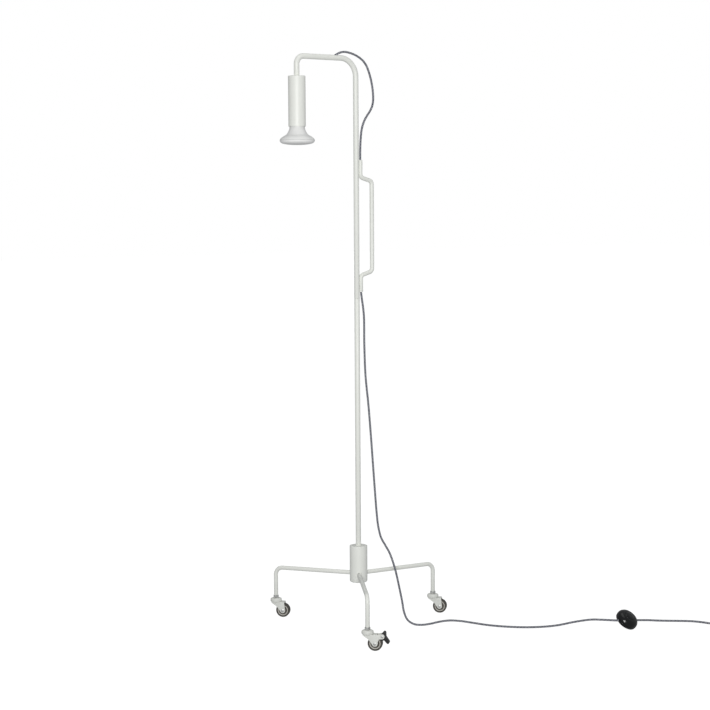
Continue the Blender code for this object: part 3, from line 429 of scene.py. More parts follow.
# %% [markdown]
# ## Ways to make a piece
# Tubes and leads follow a path, so one Geometry Nodes tree makes them all. Turned pieces
# are rings of points round an axis, from a profile of (radius, height) in metres. Pressed
# and moulded pieces are flat outlines with a thickness. `worked` then cuts, joins and
# rounds them, and `dress` gives a finished piece to its body.

# %% Plain meshes
CORNER_SHARE = 0.48       # of a side, the most that a rounded corner takes
ON_AXIS = 0.000001        # a smaller radius than this is none


def mesh_object(name, shape):
    """An object at the origin from a bmesh, which is freed."""
    mesh = bpy.data.meshes.new(name)
    shape.to_mesh(mesh)
    shape.free()
    return placed(name, mesh)


def fillet(before, here, after, radius, steps):
    """The corner at here as an arc that meets both of its sides smoothly."""
    way_in, way_out = (here - before).normalized(), (after - here).normalized()
    angle = way_in.angle(way_out)
    slope = tan(angle / 2)
    reach = min(radius * slope, CORNER_SHARE * (here - before).length,
                CORNER_SHARE * (after - here).length)
    radius = reach / slope
    inward = (way_out - way_in * way_in.dot(way_out)).normalized()
    centre = here - way_in * reach + inward * radius
    angles = [angle * k / steps for k in range(steps + 1)]
    return [centre + radius * (way_in * sin(a) - inward * cos(a)) for a in angles]


def rounded(corners, closed=True, steps=4):
    """2D corners (x, y, radius), each rounded by its radius where it has one."""
    spots = [Vector(corner[:2]) for corner in corners]
    out = []
    for i, (x, y, *radius) in enumerate(corners):
        if not radius or (not closed and i in (0, len(corners) - 1)):
            out.append((x, y))
            continue
        after = spots[(i + 1) % len(spots)]
        out += [tuple(p) for p in fillet(spots[i - 1], spots[i], after, radius[0], steps)]
    return out


def ringed(name, rings, place, steps):
    """A closed shape from rings of (radius, height) points round place's Z axis."""
    shape = bmesh.new()
    angles = [2 * pi * k / steps for k in range(steps)]
    made = [[shape.verts.new(place @ Vector((r * cos(a), r * sin(a), z)))
             for (r, z), a in zip(ring, angles)] for ring in rings]
    pairs = list(zip(made, made[1:]))
    if len(made[0]) == len(made[-1]) == steps:
        pairs.append((made[-1], made[0]))
    for low, high in pairs:
        for k in range(steps):
            n = (k + 1) % steps
            corners = list(dict.fromkeys((low[k % len(low)], low[n % len(low)],
                                          high[n % len(high)], high[k % len(high)])))
            if len(corners) > 2:
                shape.faces.new(corners)
    bmesh.ops.recalc_face_normals(shape, faces=shape.faces)
    return mesh_object(name, shape)


def turned(name, profile, place=LAMP_PLACE, steps=96):
    """A closed turned shape from (radius, height) points; on the axis a ring is one point."""
    rings = [[point] * (steps if point[0] > ON_AXIS else 1) for point in profile]
    return ringed(name, rings, place, steps)


def plate(name, outline, thickness, place):
    """A flat piece from a 2D outline, centred on place's XY plane."""
    shape = bmesh.new()
    low = [shape.verts.new(place @ Vector((x, y, -thickness / 2))) for x, y in outline]
    high = [shape.verts.new(place @ Vector((x, y, thickness / 2))) for x, y in outline]
    shape.faces.new(low)
    shape.faces.new(high)
    for k in range(len(outline)):
        n = (k + 1) % len(outline)
        shape.faces.new((low[k], low[n], high[n], high[k]))
    bmesh.ops.recalc_face_normals(shape, faces=shape.faces)
    return mesh_object(name, shape)


def facing(origin, way):
    """A place whose Z axis runs along way from origin."""
    return Matrix.Translation(origin) @ Vector(way).to_track_quat("Z", "Y").to_matrix().to_4x4()


def bar(name, radius, length, place, steps=48):
    """A plain round bar along place's Z axis, used as a cutter."""
    return turned(name, [(0, 0), (radius, 0), (radius, length), (0, length)], place, steps)


print("mesh helpers ready")

# %% Cutting, joining, rounding and dressing
SLIVER = 0.000004         # cuts leave edges this short, which are closed up


def applied(piece):
    """A mesh of the piece with its modifiers applied."""
    graph = bpy.context.evaluated_depsgraph_get()
    graph.update()
    return bpy.data.meshes.new_from_object(piece.evaluated_get(graph))


def worked(piece, cut=(), join=(), bevel=0.0, segments=2, wall=0.0, angle=40):
    """The piece with a wall, joins, cuts and rounded edges, all applied."""
    if wall:
        shell = piece.modifiers.new("wall", "SOLIDIFY")
        shell.thickness, shell.offset = wall, -1
    for operation, others in (("UNION", join), ("DIFFERENCE", cut)):
        for other in others:
            step = piece.modifiers.new(other.name, "BOOLEAN")
            step.operation, step.object, step.solver = operation, other, "EXACT"
    if bevel:
        edge = piece.modifiers.new("edge", "BEVEL")
        edge.width, edge.segments = bevel, segments
        edge.limit_method, edge.angle_limit = "ANGLE", radians(angle)
    mesh = applied(piece)
    shape = bmesh.new()
    shape.from_mesh(mesh)
    bmesh.ops.remove_doubles(shape, verts=shape.verts, dist=SLIVER)
    bmesh.ops.dissolve_degenerate(shape, edges=shape.edges, dist=SLIVER)
    shape.to_mesh(mesh)
    shape.free()
    name = piece.name
    for old in (piece, *cut, *join):
        bpy.data.objects.remove(old, do_unlink=True)
    return placed(name, mesh)


def dress(piece, slot, material, *nodes, body="lamp", sharp=40):
    """Gives a finished piece its material, shading, body and slot."""
    piece.data.materials.clear()
    piece.data.materials.append(material)
    piece.data.polygons.foreach_set("material_index", [0] * len(piece.data.polygons))
    piece.data.shade_smooth()
    piece.data.set_sharp_from_angle(angle=radians(sharp))
    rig.ride(piece, body)
    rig.slot(piece, slot)
    if nodes:
        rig.replaces(piece, *nodes)
    return piece


print("finishing helpers ready")

# %% A tree for tubes and leads


def new_tree(name, inputs):
    """An empty Geometry Nodes tree with named inputs, and its first and last nodes."""
    tree = bpy.data.node_groups.new(name, "GeometryNodeTree")
    tree.interface.new_socket("Geometry", in_out="INPUT", socket_type="NodeSocketGeometry")
    for label, kind in inputs:
        tree.interface.new_socket(label, in_out="INPUT", socket_type=f"NodeSocket{kind}")
    tree.interface.new_socket("Geometry", in_out="OUTPUT", socket_type="NodeSocketGeometry")
    return tree, add(tree, "NodeGroupInput"), add(tree, "NodeGroupOutput")


def end_tree(tree, start, end, geometry):
    """Closes a tree: instances made real, then the material set."""
    real = add(tree, "GeometryNodeRealizeInstances", links={0: geometry})
    coat = add(tree, "GeometryNodeSetMaterial", links={
        "Geometry": real.outputs[0], "Material": start.outputs["Material"]})
    tree.links.new(coat.outputs[0], end.inputs[0])


TUBE, tube_in, tube_out = new_tree("tube along a path", [
    ("Radius", "Float"), ("Sides", "Int"), ("Material", "Material")])
spine = add(TUBE, "GeometryNodeMeshToCurve", links={0: tube_in.outputs["Geometry"]})
measure = add(TUBE, "GeometryNodeSplineParameter")
walked = add(TUBE, "GeometryNodeCaptureAttribute", {"domain": "POINT"})
walked.capture_items.new("FLOAT", "walked")
TUBE.links.new(spine.outputs[0], walked.inputs[0])
TUBE.links.new(measure.outputs["Length"], walked.inputs[1])
one_more = add(TUBE, "ShaderNodeMath", {"operation": "ADD"}, {1: 1.0},
               {0: tube_in.outputs["Sides"]})
ring = add(TUBE, "GeometryNodeCurveArc", {"mode": "RADIUS"},
           {"Start Angle": 0.0, "Sweep Angle": 2 * pi},
           {"Resolution": one_more.outputs[0], "Radius": tube_in.outputs["Radius"]})
ring_at = add(TUBE, "GeometryNodeCaptureAttribute", {"domain": "POINT"})
ring_at.capture_items.new("FLOAT", "ring_at")
TUBE.links.new(ring.outputs[0], ring_at.inputs[0])
TUBE.links.new(measure.outputs["Factor"], ring_at.inputs[1])
skin = add(TUBE, "GeometryNodeCurveToMesh", links={
    "Curve": walked.outputs[0], "Profile Curve": ring_at.outputs[0]})
pair = add(TUBE, "ShaderNodeCombineXYZ", links={0: ring_at.outputs[1], 1: walked.outputs[1]})
mapped = add(TUBE, "GeometryNodeStoreNamedAttribute", {"data_type": "FLOAT2", "domain": "CORNER"},
             {"Name": "lead_uv"}, {"Geometry": skin.outputs[0], "Value": pair.outputs[0]})
welded = add(TUBE, "GeometryNodeMergeByDistance", values={"Distance": 0.000005},
             links={"Geometry": mapped.outputs[0]})
end_tree(TUBE, tube_in, tube_out, welded.outputs[0])
print("tube tree nodes", len(TUBE.nodes))

# %% Growing a piece from a tree


def grown(name, source, tree, values):
    """A plain mesh from a tree run on source, which is removed with its modifier."""
    step = source.modifiers.new(tree.name, "NODES")
    step.node_group = tree
    for item in tree.interface.items_tree:
        if item.item_type == "SOCKET" and item.in_out == "INPUT" and item.name in values:
            step[item.identifier] = values[item.name]
    mesh = applied(source)
    bpy.data.objects.remove(source, do_unlink=True)
    return placed(name, mesh)


def line_object(points):
    """A chain of edges through points, for a tree to grow on."""
    shape = bmesh.new()
    dots = [shape.verts.new(p) for p in points]
    for here, there in zip(dots, dots[1:]):
        shape.edges.new((here, there))
    return mesh_object("line", shape)


def tube(name, path, radius, material, sides=48, wall=0.0, cut=(), bevel=0.0):
    """A round tube, or with no wall a solid rod or lead, along a path in lamp metres."""
    made = grown(name, line_object([LAMP + Vector(p) for p in path]), TUBE,
                 {"Radius": radius, "Sides": sides, "Material": material})
    shape = bmesh.new()
    shape.from_mesh(made.data)
    if not wall:
        bmesh.ops.holes_fill(shape, edges=[e for e in shape.edges if e.is_boundary], sides=0)
    bmesh.ops.recalc_face_normals(shape, faces=shape.faces)
    shape.to_mesh(made.data)
    shape.free()
    if wall:
        made = worked(made, bevel=bevel, wall=wall, angle=60)
    return worked(made, cut=cut) if cut else made


print("growing ready")

# %% Paths
FINE_STEPS = 24           # between two route points, before the even steps are measured off


def bent(corners, radii, steps=16):
    """A path through corners, each inner one bent to its radius."""
    spots = [Vector(corner) for corner in corners]
    path = [spots[0]]
    for i, radius in enumerate(radii, start=1):
        path += fillet(*spots[i - 1:i + 2], radius, steps)
    return path + [spots[-1]]


def lead_path(points_mm, spacing):
    """Points every spacing metres along a smooth curve through route points in mm."""
    knots = [Vector(p) / 1000 for p in points_mm]
    ends = [2 * knots[0] - knots[1]] + knots + [2 * knots[-1] - knots[-2]]
    fine = []
    for p0, p1, p2, p3 in zip(ends, ends[1:], ends[2:], ends[3:]):
        d1, d2, d3 = (max((b - a).length, 1e-6) ** 0.5 for a, b in ((p0, p1), (p1, p2), (p2, p3)))
        m1 = (p2 - p1) + d2 * ((p1 - p0) / d1 - (p2 - p0) / (d1 + d2))
        m2 = (p2 - p1) + d2 * ((p3 - p2) / d3 - (p3 - p1) / (d2 + d3))
        for k in range(FINE_STEPS):
            t = k / FINE_STEPS
            fine.append(p1 * (2 * t ** 3 - 3 * t ** 2 + 1) + m1 * (t ** 3 - 2 * t ** 2 + t)
                        + p2 * (3 * t ** 2 - 2 * t ** 3) + m2 * (t ** 3 - t ** 2))
    fine.append(knots[-1])
    total = length_of(fine)
    count = max(2, round(total / spacing))
    out, walked_on = [fine[0]], 0.0
    for a, b in zip(fine, fine[1:]):
        step = (b - a).length
        while len(out) < count and walked_on + step >= len(out) * total / count:
            out.append(a.lerp(b, (len(out) * total / count - walked_on) / step))
        walked_on += step
    return out + [fine[-1]]


def length_of(path):
    """How long a path is, in metres."""
    return sum((b - a).length for a, b in zip(path, path[1:]))


print("paths ready")

# %% [markdown]
# ## The lead
# It leaves the top of the arm, drops in one loose loop to the top of the handle, runs
# down inside the handle, and comes out of its lower end. From there it falls beside the
# pole to the floor, wanders to the foot switch, and runs on to the plug. The routes are
# the model's own points.

# %% The lead's facts, then its routes in millimetres from the pole's axis
LEAD_R = 0.003
LEAD_LENGTHS = {"lead_upper": 0.39, "lead_lower": 1.59, "lead_tail": 1.44}
LEAD_SIDES = 18
LEAD_STEP = 0.0025
UPPER_ROUTE = [
    (-65.6, 0, 1600.2), (-58, 0, 1604.5), (-46, 0, 1608.5), (-34, 0, 1609.5), (-22, 0, 1608),
    (-4, 0, 1603.5), (11, 0, 1597), (25, 0, 1588), (35, 0, 1577), (43, 0, 1562), (52, 0, 1536),
    (57.5, 0, 1509), (59, 0, 1483), (55.5, 0, 1465), (48, 0, 1451), (38, 0, 1438),
    (28, 0, 1423), (20, 0, 1402), (16, 0, 1376), (14.2, 0, 1348), (13.8, 0, 1330),
    (13.8, 0, 1315),
]
LOWER_ROUTE = [
    (13.8, 0, 948.2), (15.3, -1.6, 931), (19.5, -5, 885), (20, -6, 800), (22, -8, 715),
    (28, -13, 630), (33, -17, 545), (37, -21, 461), (42, -24, 375), (45, -27, 320),
    (48, -30, 283), (54, -35, 252), (63, -43, 230), (72, -51, 208), (84, -60, 163),
    (93, -68, 109), (99, -73, 70), (103, -77, 38), (110, -85, 16), (123, -97, 5),
    (139, -111, 3.2), (166, -116, 3.2), (204, -113, 3.2), (234, -119, 3.2), (254, -140, 3.2),
    (271, -180, 3.2), (289, -224, 3.2), (319, -268, 3.2), (359, -306, 3.2), (403, -331, 3.2),
    (444, -348, 5), (481, -374, 14), (508, -413, 24.5), (520, -443, 28.5), (532, -465, 30),
    (545, -474.5, 29.2), (553.9, -474.3, 28),
]
TAIL_ROUTE = [
    (619.8, -471.4, 18), (632, -471, 16.2), (650, -471, 13.6), (676, -473, 10), (701, -480, 6.6),
    (729, -492, 4.2), (759, -511, 3.2), (784, -534, 3.2), (798, -557, 3.2), (807, -580, 3.2),
    (815, -600, 3.2), (823.5, -617, 3.2),
]
print("route points", len(UPPER_ROUTE) + len(LOWER_ROUTE) + len(TAIL_ROUTE))

# %% [markdown]
# The spare length is wound into a neat coil, two turns wide and three high. Each turn
# changes place over a short arc, always a little sooner than the turn before it did, so
# that a turn only moves into a place that is free there.

# %% The coil's turns
COIL_AT = (867.0, -613.0)
TURN_R = (36.1, 30.0)     # outer and inner turns
TURN_Z = (4.0, 10.1, 16.2)
WINDING = [(0, 0), (1, 0), (1, 1), (1, 2), (0, 2), (0, 1)]   # (column, layer) in order
COIL_START, COIL_STOP, COIL_EVERY = 207, 2070, 9         # degrees
CHANGE_START, CHANGE_EVERY, CHANGE_ARC = 480, 310, 50


def coil_points():
    """The coil's centreline, in millimetres."""
    points = []
    for degrees in range(COIL_START, COIL_STOP + 1, COIL_EVERY):
        past = degrees - CHANGE_START
        turn = 0 if past < 0 else min(past // CHANGE_EVERY, 4)
        share = min(max((past - turn * CHANGE_EVERY) / CHANGE_ARC, 0), 1)
        ease = share * share * (3 - 2 * share)
        (c0, l0), (c1, l1) = WINDING[turn], WINDING[turn + 1]
        r = TURN_R[c0] + (TURN_R[c1] - TURN_R[c0]) * ease
        z = TURN_Z[l0] + (TURN_Z[l1] - TURN_Z[l0]) * ease
        a = radians(degrees)
        points.append((COIL_AT[0] + r * cos(a), COIL_AT[1] + r * sin(a), z))
    return points


COIL_ROUTE = coil_points()
PLUG_AT = (911.5, -612.5, 6.85)
PLUG_TURN = radians(55)
EXIT_ROUTE = [(881, -649.5, 9.8), (894, -641, 8.6), (904.5, -624.5, 7.2), PLUG_AT,
              (PLUG_AT[0] + 6 * cos(PLUG_TURN), PLUG_AT[1] + 6 * sin(PLUG_TURN), 6.85)]
print("coil turns", round((COIL_STOP - COIL_START) / 360, 1))

# %% The three stretches of free lead
upper = lead_path(UPPER_ROUTE, LEAD_STEP)
lower = lead_path(LOWER_ROUTE, LEAD_STEP)
tail = lead_path(TAIL_ROUTE[:-1] + COIL_ROUTE + EXIT_ROUTE, LEAD_STEP)
leads = {}
for name, path, nodes in (("lead_upper", upper, ["cord_upper"]),
                          ("lead_lower", lower, ["cord_lower"]),
                          ("lead_tail", tail, ["cord_tail", "cord_coil"])):
    made = tube(name, path, LEAD_R, BRAID, sides=LEAD_SIDES)
    leads[name] = dress(made, "lead_textile", BRAID, *nodes, sharp=80)
    print(name, round(length_of(path), 3), "m")

# %% [markdown]
# ## Pole, arm, handle and legs
# The pole is two tubes that meet below the handle. The upper one is bent over into the
# arm and again, tightly, into the short drop that holds the head. All of them are
# 1.2 to 1.5 mm steel, so their cut ends show a wall.

# %% The pole and the arm
POLE_R, POLE_WALL = 0.0075, 0.0015
TOP_Z, FOOT_Z, SEAM_Z = 1.5925, 0.171, 0.931
HEAD_X, CASING_TOP_Z = -0.194, 1.540
ARM_BENDS = [0.050, 0.022]
HOLE_SLANT, HOLE_AT = radians(30), (-0.066, 0, 1.600)
lower_pole = tube("pole_lower_tube", [(0, 0, FOOT_Z), (0, 0, SEAM_Z - GAP / 2)], POLE_R,
                  POWDER_COAT, wall=POLE_WALL, bevel=0.0003)
dress(lower_pole, "enamel", POWDER_COAT, "lower_pole")
arm_path = bent([(0, 0, SEAM_Z + GAP / 2), (0, 0, TOP_Z), (HEAD_X, 0, TOP_Z),
                 (HEAD_X, 0, CASING_TOP_Z + GAP)], ARM_BENDS, steps=28)
HOLE_WAY = Vector((cos(HOLE_SLANT), 0, sin(HOLE_SLANT)))
hole_from = LAMP + Vector(HOLE_AT) - HOLE_WAY * (POLE_R / HOLE_WAY.z)
lead_hole = bar("lead_hole", LEAD_R + 0.0006, 0.03, facing(hole_from, HOLE_WAY))
arm = tube("pole_upper_tube_and_arm", arm_path, POLE_R, POWDER_COAT, wall=POLE_WALL,
           cut=[lead_hole], bevel=0.0003)
dress(arm, "enamel", POWDER_COAT, "upper_pole")
print("arm reach", -HEAD_X, "height", round(TOP_Z + POLE_R, 3))

# %% The handle
STUB_X, GRIP_X = POLE_R + GAP + 0.006, 0.0524
HANDLE_TOP, HANDLE_LOW = 1.3145, 0.949
TOP_STUB, LOW_STUB, HANDLE_SLOPE, HANDLE_BEND = 0.047, 0.0455, radians(16), 0.012
slope_drop = (GRIP_X - STUB_X) * tan(HANDLE_SLOPE)
handle_path = bent([
    (STUB_X, 0, HANDLE_TOP), (STUB_X, 0, HANDLE_TOP - TOP_STUB),
    (GRIP_X, 0, HANDLE_TOP - TOP_STUB - slope_drop),
    (GRIP_X, 0, HANDLE_LOW + LOW_STUB + slope_drop),
    (STUB_X, 0, HANDLE_LOW + LOW_STUB), (STUB_X, 0, HANDLE_LOW)], [HANDLE_BEND] * 4, steps=12)
handle = tube("handle_tube", handle_path, 0.006, POWDER_COAT, sides=40, wall=0.0012, bevel=0.0002)
dress(handle, "enamel", POWDER_COAT, "handle")
print("handle length", round(length_of(handle_path), 3))

# %% The legs
HUB_R, HUB_LOW, HUB_TOP = 0.025, 0.127, 0.231
SCREW_CIRCLE, LEG_BORE_START = 0.0175, 0.0112            # both from the hub's axis
LEG_R, LEG_REACH, LEG_Z, DROOP = 0.006, 0.265, 0.1517, radians(1.5)
LEG_ANGLES = {"a": 0.0, "b": radians(120), "c": radians(-120)}
LEG_END_Z, LEG_BEND = 0.0629, 0.022


def leg_way(angle):
    """The way a leg points: outwards, and down by its droop."""
    return Vector((cos(angle) * cos(DROOP), sin(angle) * cos(DROOP),
                   -sin(DROOP)))


for key, angle in LEG_ANGLES.items():
    hub_point = Vector((0, 0, LEG_Z))
    corner = hub_point + leg_way(angle) * (LEG_REACH / cos(DROOP))
    leg_path = bent([hub_point + leg_way(angle) * (LEG_BORE_START + GAP), corner,
                     Vector((corner.x, corner.y, LEG_END_Z))], [LEG_BEND], steps=24)
    leg = tube(f"leg_tube_{key}", leg_path, LEG_R, POWDER_COAT, sides=40, wall=0.0015,
               bevel=0.0002)
    dress(leg, "enamel", POWDER_COAT, f"leg_{key}")
print("legs", len(LEG_ANGLES))

# %% [markdown]
# ## The hub
# A turned steel block with a crisp top edge and a softer lower one. The pole drops into
# its top, the legs go into three bores, and screws hold all four from below. It is one
# turned profile with the bores cut out.

# %% The hub and its screws
BOLT_HEAD_R, BOLT_BORE_R, COUNTERBORE_H = 0.0065, 0.0043, 0.0083
counterbore_r, counterbore_top = BOLT_HEAD_R + GAP, HUB_LOW + COUNTERBORE_H
hub_profile = rounded([
    (POLE_R + GAP, HUB_TOP, 0.0004), (HUB_R, HUB_TOP, 0.0015), (HUB_R, HUB_LOW, 0.005),
    (counterbore_r, HUB_LOW, 0.0004), (counterbore_r, counterbore_top),
    (BOLT_BORE_R, counterbore_top), (BOLT_BORE_R, FOOT_Z - GAP), (POLE_R + GAP, FOOT_Z - GAP)],
    steps=6)
hub = turned("hub_block", hub_profile, steps=128)
hub_cuts = []
for key, angle in LEG_ANGLES.items():
    mouth = LAMP + Vector((0, 0, LEG_Z)) + leg_way(angle) * LEG_BORE_START
    hub_cuts.append(bar(f"leg_bore_{key}", LEG_R + 0.00015, HUB_R, facing(mouth, leg_way(angle))))
    spot = LAMP + Vector((SCREW_CIRCLE * cos(angle), SCREW_CIRCLE * sin(angle), HUB_LOW - 0.001))
    hub_cuts.append(bar(f"screw_bore_{key}", 0.0028, 0.02, Matrix.Translation(spot)))
hub = worked(hub, cut=hub_cuts)
dress(hub, "enamel", POWDER_COAT, "hub_body", sharp=35)


def socket_screw(name, head_r, head_h, across, place, node, shank):
    """A screw seen from its end: a bevelled head with a hexagonal socket."""
    profile = rounded([(0, 0), (head_r, 0, 0.0004), (head_r, head_h), (shank[0], head_h),
                       (shank[0], shank[1]), (0, shank[1])], closed=False)
    screw = turned(name, profile, place, 48)
    radius = across / 2 / cos(pi / 6)
    socket = turned(f"{name}_socket", [(0, -0.001), (radius, -0.001), (radius, 0.003), (0, 0.003)],
                    place, 6)
    dress(worked(screw, cut=[socket]), "zinc_steel", ZINC, node)


hub_foot = LAMP_PLACE @ shift(0, 0, HUB_LOW + 0.0002)
socket_screw("hub_bolt_and_socket", BOLT_HEAD_R, 0.008, 0.005, hub_foot, "hub_bolt",
             (0.004, 0.0655))
for key, angle in LEG_ANGLES.items():
    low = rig.box(f"leg_{key}_set_screw")[0][2]
    spot = LAMP + Vector((SCREW_CIRCLE * cos(angle), SCREW_CIRCLE * sin(angle), low))
    socket_screw(f"leg_{key}_socket_screw", 0.0025, 0.0125, 0.0025, Matrix.Translation(spot),
                 f"leg_{key}_set_screw", (0.0018, 0.013))
print("hub faces", len(hub.data.polygons))

# %% [markdown]
# ## Casters
# Bought parts: a plated nut under the leg, a domed cap over the swivel, a moulded fork,
# a grey wheel with a stepped face and a rubber tyre. The front one has a black brake
# pedal that hangs between two ears. Each piece is made in the caster's own frame, where
# X runs along the trail and the axle is 21 mm from the stem.

# %% Sizes of a caster
WHEEL_R, TRAIL, TYRE_W = 0.020, 0.021, 0.016
YOKE_GAP, CHEEK, YOKE_TOP, YOKE_PLATE = 0.018, 0.0024, 0.0445, 0.0028
AXLE_Z = WHEEL_R
CAP_R, CAP_Z, CAP_H = 0.0165, 0.0448, 0.0105
NUT_Z, NUT_H, NUT_R = 0.0556, 0.007, 0.0085
STEM_BORE, KING_BORE = 0.0043, 0.0044
AXLE_R, AXLE_HEAD_R, AXLE_BOSS_R = 0.0025, 0.0045, 0.0075
PIN_R, PIN_HEAD_R, EAR_R, PIN_OUT = 0.0018, 0.0032, 0.0066, 0.020   # out and up from the axle
FAR = 0.06                # well outside a caster, for cutters
SIDEWAYS = spin(90, "X")


def arc(x, y, radius, start, end, steps):
    """Points on an arc, from one angle in degrees to another."""
    angles = [radians(start + (end - start) * k / steps) for k in range(steps + 1)]
    return [(x + radius * cos(a), y + radius * sin(a)) for a in angles]


def crosswise(name, radius, place):
    """A cutter for a bore straight through a caster, across it at place."""
    return bar(name, radius, 0.05, place @ SIDEWAYS @ shift(0, 0, -0.025))


print("wheel", 2 * WHEEL_R, "m across")

# %% The nut: a hexagon whose corners a cone has cut
CHAMFER = 0.0009


def hex_nut(name, place, radius, height, bore, steps=72):
    """A hexagonal nut with chamfered corners and a round bore."""
    flat = radius * cos(pi / 6)
    off_flat = [radians((360 * k / steps + 30) % 60 - 30) for k in range(steps)]
    hexagon = [flat / cos(a) for a in off_flat]
    rings = [[(bore, 0.0)] * steps]
    for z, limit in ((0.0, flat), (CHAMFER, 2 * radius), (height - CHAMFER, 2 * radius),
                     (height, flat)):
        rings.append([(min(r, limit), z) for r in hexagon])
    rings.append([(bore, height)] * steps)
    return ringed(name, rings, place, steps)


print("nut ready")

# %% The fork
BETWEEN_EARS = 0.0055     # from here on, out from the axle, the slot is open at the top
DISC_R = 0.0140


def fork_outline(with_ear):
    """A cheek seen from the side: x along the trail from the axle, y up from it."""
    top = YOKE_TOP - WHEEL_R
    outline = arc(0, 0, AXLE_BOSS_R, 200, 350, 20)
    if with_ear:
        outline += rounded([(0.0085, 0.006), (0.0095, 0.009, 0.004), (0.0125, 0.0125)], False)[1:]
        outline += arc(PIN_OUT, PIN_OUT, EAR_R, -75, 90, 18) + [(0.010, top)]
    else:
        outline += [(0.006, 0.010), (0.0046, top)]
    back = -TRAIL - 0.01148
    return outline + [(back, top), (back, top - YOKE_PLATE), (-0.0175, 0.0115)]


def make_fork(key, swivel, wheel, with_ear):
    """Two cheeks under a round top plate, bored for the stem and the axle, edges eased."""
    width = YOKE_GAP + 2 * CHEEK
    fork = plate(f"caster_{key}_fork", fork_outline(with_ear), width, wheel @ SIDEWAYS)
    fork = worked(fork, bevel=0.0006, segments=3, angle=35)
    disc = worked(bar("disc", DISC_R, YOKE_PLATE - 0.0005,
                      swivel @ shift(0, 0, YOKE_TOP - YOKE_PLATE + 0.0003), 64),
                  bevel=0.0004, segments=3, angle=35)
    under = YOKE_TOP - YOKE_PLATE - WHEEL_R
    slot = [(FAR, under), (-FAR, under), (-FAR, -FAR), (FAR, -FAR)]
    if with_ear:
        slot = [(BETWEEN_EARS, under)] + slot[1:] + [(FAR, FAR), (BETWEEN_EARS, FAR)]
    cuts = [plate("slot", slot, YOKE_GAP, wheel @ SIDEWAYS),
            bar("king", KING_BORE, 0.02, swivel @ shift(0, 0, 0.034)),
            crosswise("axle", AXLE_R + GAP, wheel)]
    if with_ear:
        cuts.append(crosswise("pin", PIN_R + GAP, wheel @ shift(PIN_OUT, 0, PIN_OUT)))
    return worked(fork, join=[disc], cut=cuts)


print("fork outline points", len(fork_outline(True)))

# %% The wheel, its tyre, the dark rings that paint shade into its recesses, and the rivet that holds it
RIVET_HEAD = 0.0012


def mirrored(half):
    """A profile and its mirror image across height 0."""
    return half + [(r, -z) for r, z in half[::-1] if z]


def make_wheel(key, wheel):
    """A grey core with a stepped face, a dark ring in each recess as painted shade, and the tyre."""
    body = f"wheel_{key}"
    across = wheel @ SIDEWAYS
    half = TYRE_W / 2
    core = mirrored(rounded([
        (0.0029, half), (0.0029, half + 0.0004, 0.0002), (0.0070, half + 0.0004, 0.0006),
        (0.0070, half - 0.0045, 0.0004), (0.0124, half - 0.0045, 0.0004),
        (0.0124, half - 0.0008, 0.0005), (0.0140, half - 0.0004, 0.0004),
        (0.0154, half - 0.0009, 0.0003), (0.0154, half - 0.0030)], False))
    dress(turned(f"caster_{key}_wheel_core", core, across), "wheel_grey", WHEEL_NYLON,
          f"caster_{key}_wheel", body=body, sharp=50)
    # Each ring is painted shade: a dark piece set in the recess, where there is only shade.
    for side, name in ((1, "near"), (-1, "far")):
        profile = rounded([
            (0.0073, side * (half - 0.0042)), (0.0121, side * (half - 0.0042)),
            (0.0121, side * (half - 0.0022), 0.0003), (0.0110, side * (half - 0.0016), 0.0003),
            (0.0073, side * (half - 0.0024), 0.0003)])
        dress(turned(f"caster_{key}_dust_ring_{name}", profile, across), "wheel_grey", RECESS_SHADE_RING,
              body=body, sharp=50)
    tread = mirrored(rounded([
        (0.0157, half - 0.0006, 0.0002), (0.0166, half - 0.0001, 0.0003), (WHEEL_R, half, 0.0030),
        (WHEEL_R, 0.0004)], False, 8) + [(WHEEL_R + 0.00012, 0.0)])
    dress(turned(f"caster_{key}_tyre_and_tread", tread, across, 128), "tyre", TYRE_RUBBER,
          f"caster_{key}_tyre", body=body, sharp=60)


def rivet(name, place, shaft_r, head_r, body, node):
    """A rivet across the fork, with a domed head outside each cheek."""
    half = YOKE_GAP / 2 + CHEEK + GAP
    top = half + RIVET_HEAD
    head = rounded([(shaft_r, half - 0.001), (shaft_r, half), (head_r, half, 0.0002),
                    (head_r, half + RIVET_HEAD / 2, 0.0005), (head_r * 0.62, top, 0.0015)], False)
    profile = [(0, -top)] + [(r, -z) for r, z in head[::-1]] + head + [(0, top)]
    dress(turned(name, profile, place @ SIDEWAYS, 48), "zinc_steel", ZINC, node, body=body)


print("wheel ready")

# %% [markdown]
# The brake pedal is one moulding: a wing to lift it, a shoe that bears on the tyre and a
# lever to tread on. The lever's ribs are a row, so a small tree lays them out.

# %% The brake pedal and its ribs
RIBS, ribs_in, ribs_out = new_tree("row of ribs", [
    ("Count", "Int"), ("Radius", "Float"), ("Width", "Float"), ("Material", "Material")])
rib_line = add(RIBS, "GeometryNodeMeshToCurve", links={0: ribs_in.outputs["Geometry"]})
rib_spots = add(RIBS, "GeometryNodeCurveToPoints", {"mode": "COUNT"},
                links={"Curve": rib_line.outputs[0], "Count": ribs_in.outputs["Count"]})
rib_shape = add(RIBS, "GeometryNodeMeshCylinder", values={"Vertices": 12}, links={
    "Radius": ribs_in.outputs["Radius"], "Depth": ribs_in.outputs["Width"]})
rib_copies = add(RIBS, "GeometryNodeInstanceOnPoints", links={
    "Points": rib_spots.outputs[0], "Instance": rib_shape.outputs[0]})
rib_turn = add(RIBS, "GeometryNodeRotateInstances",
               values={"Rotation": (radians(90), 0, radians(-45))},
               links={"Instances": rib_copies.outputs[0]})
end_tree(RIBS, ribs_in, ribs_out, rib_turn.outputs[0])


PEDAL_W, SHOE_GAP = 0.0164, 0.0004
RIB_COUNT, RIB_R, RIB_W = 5, 0.0006, 0.0136


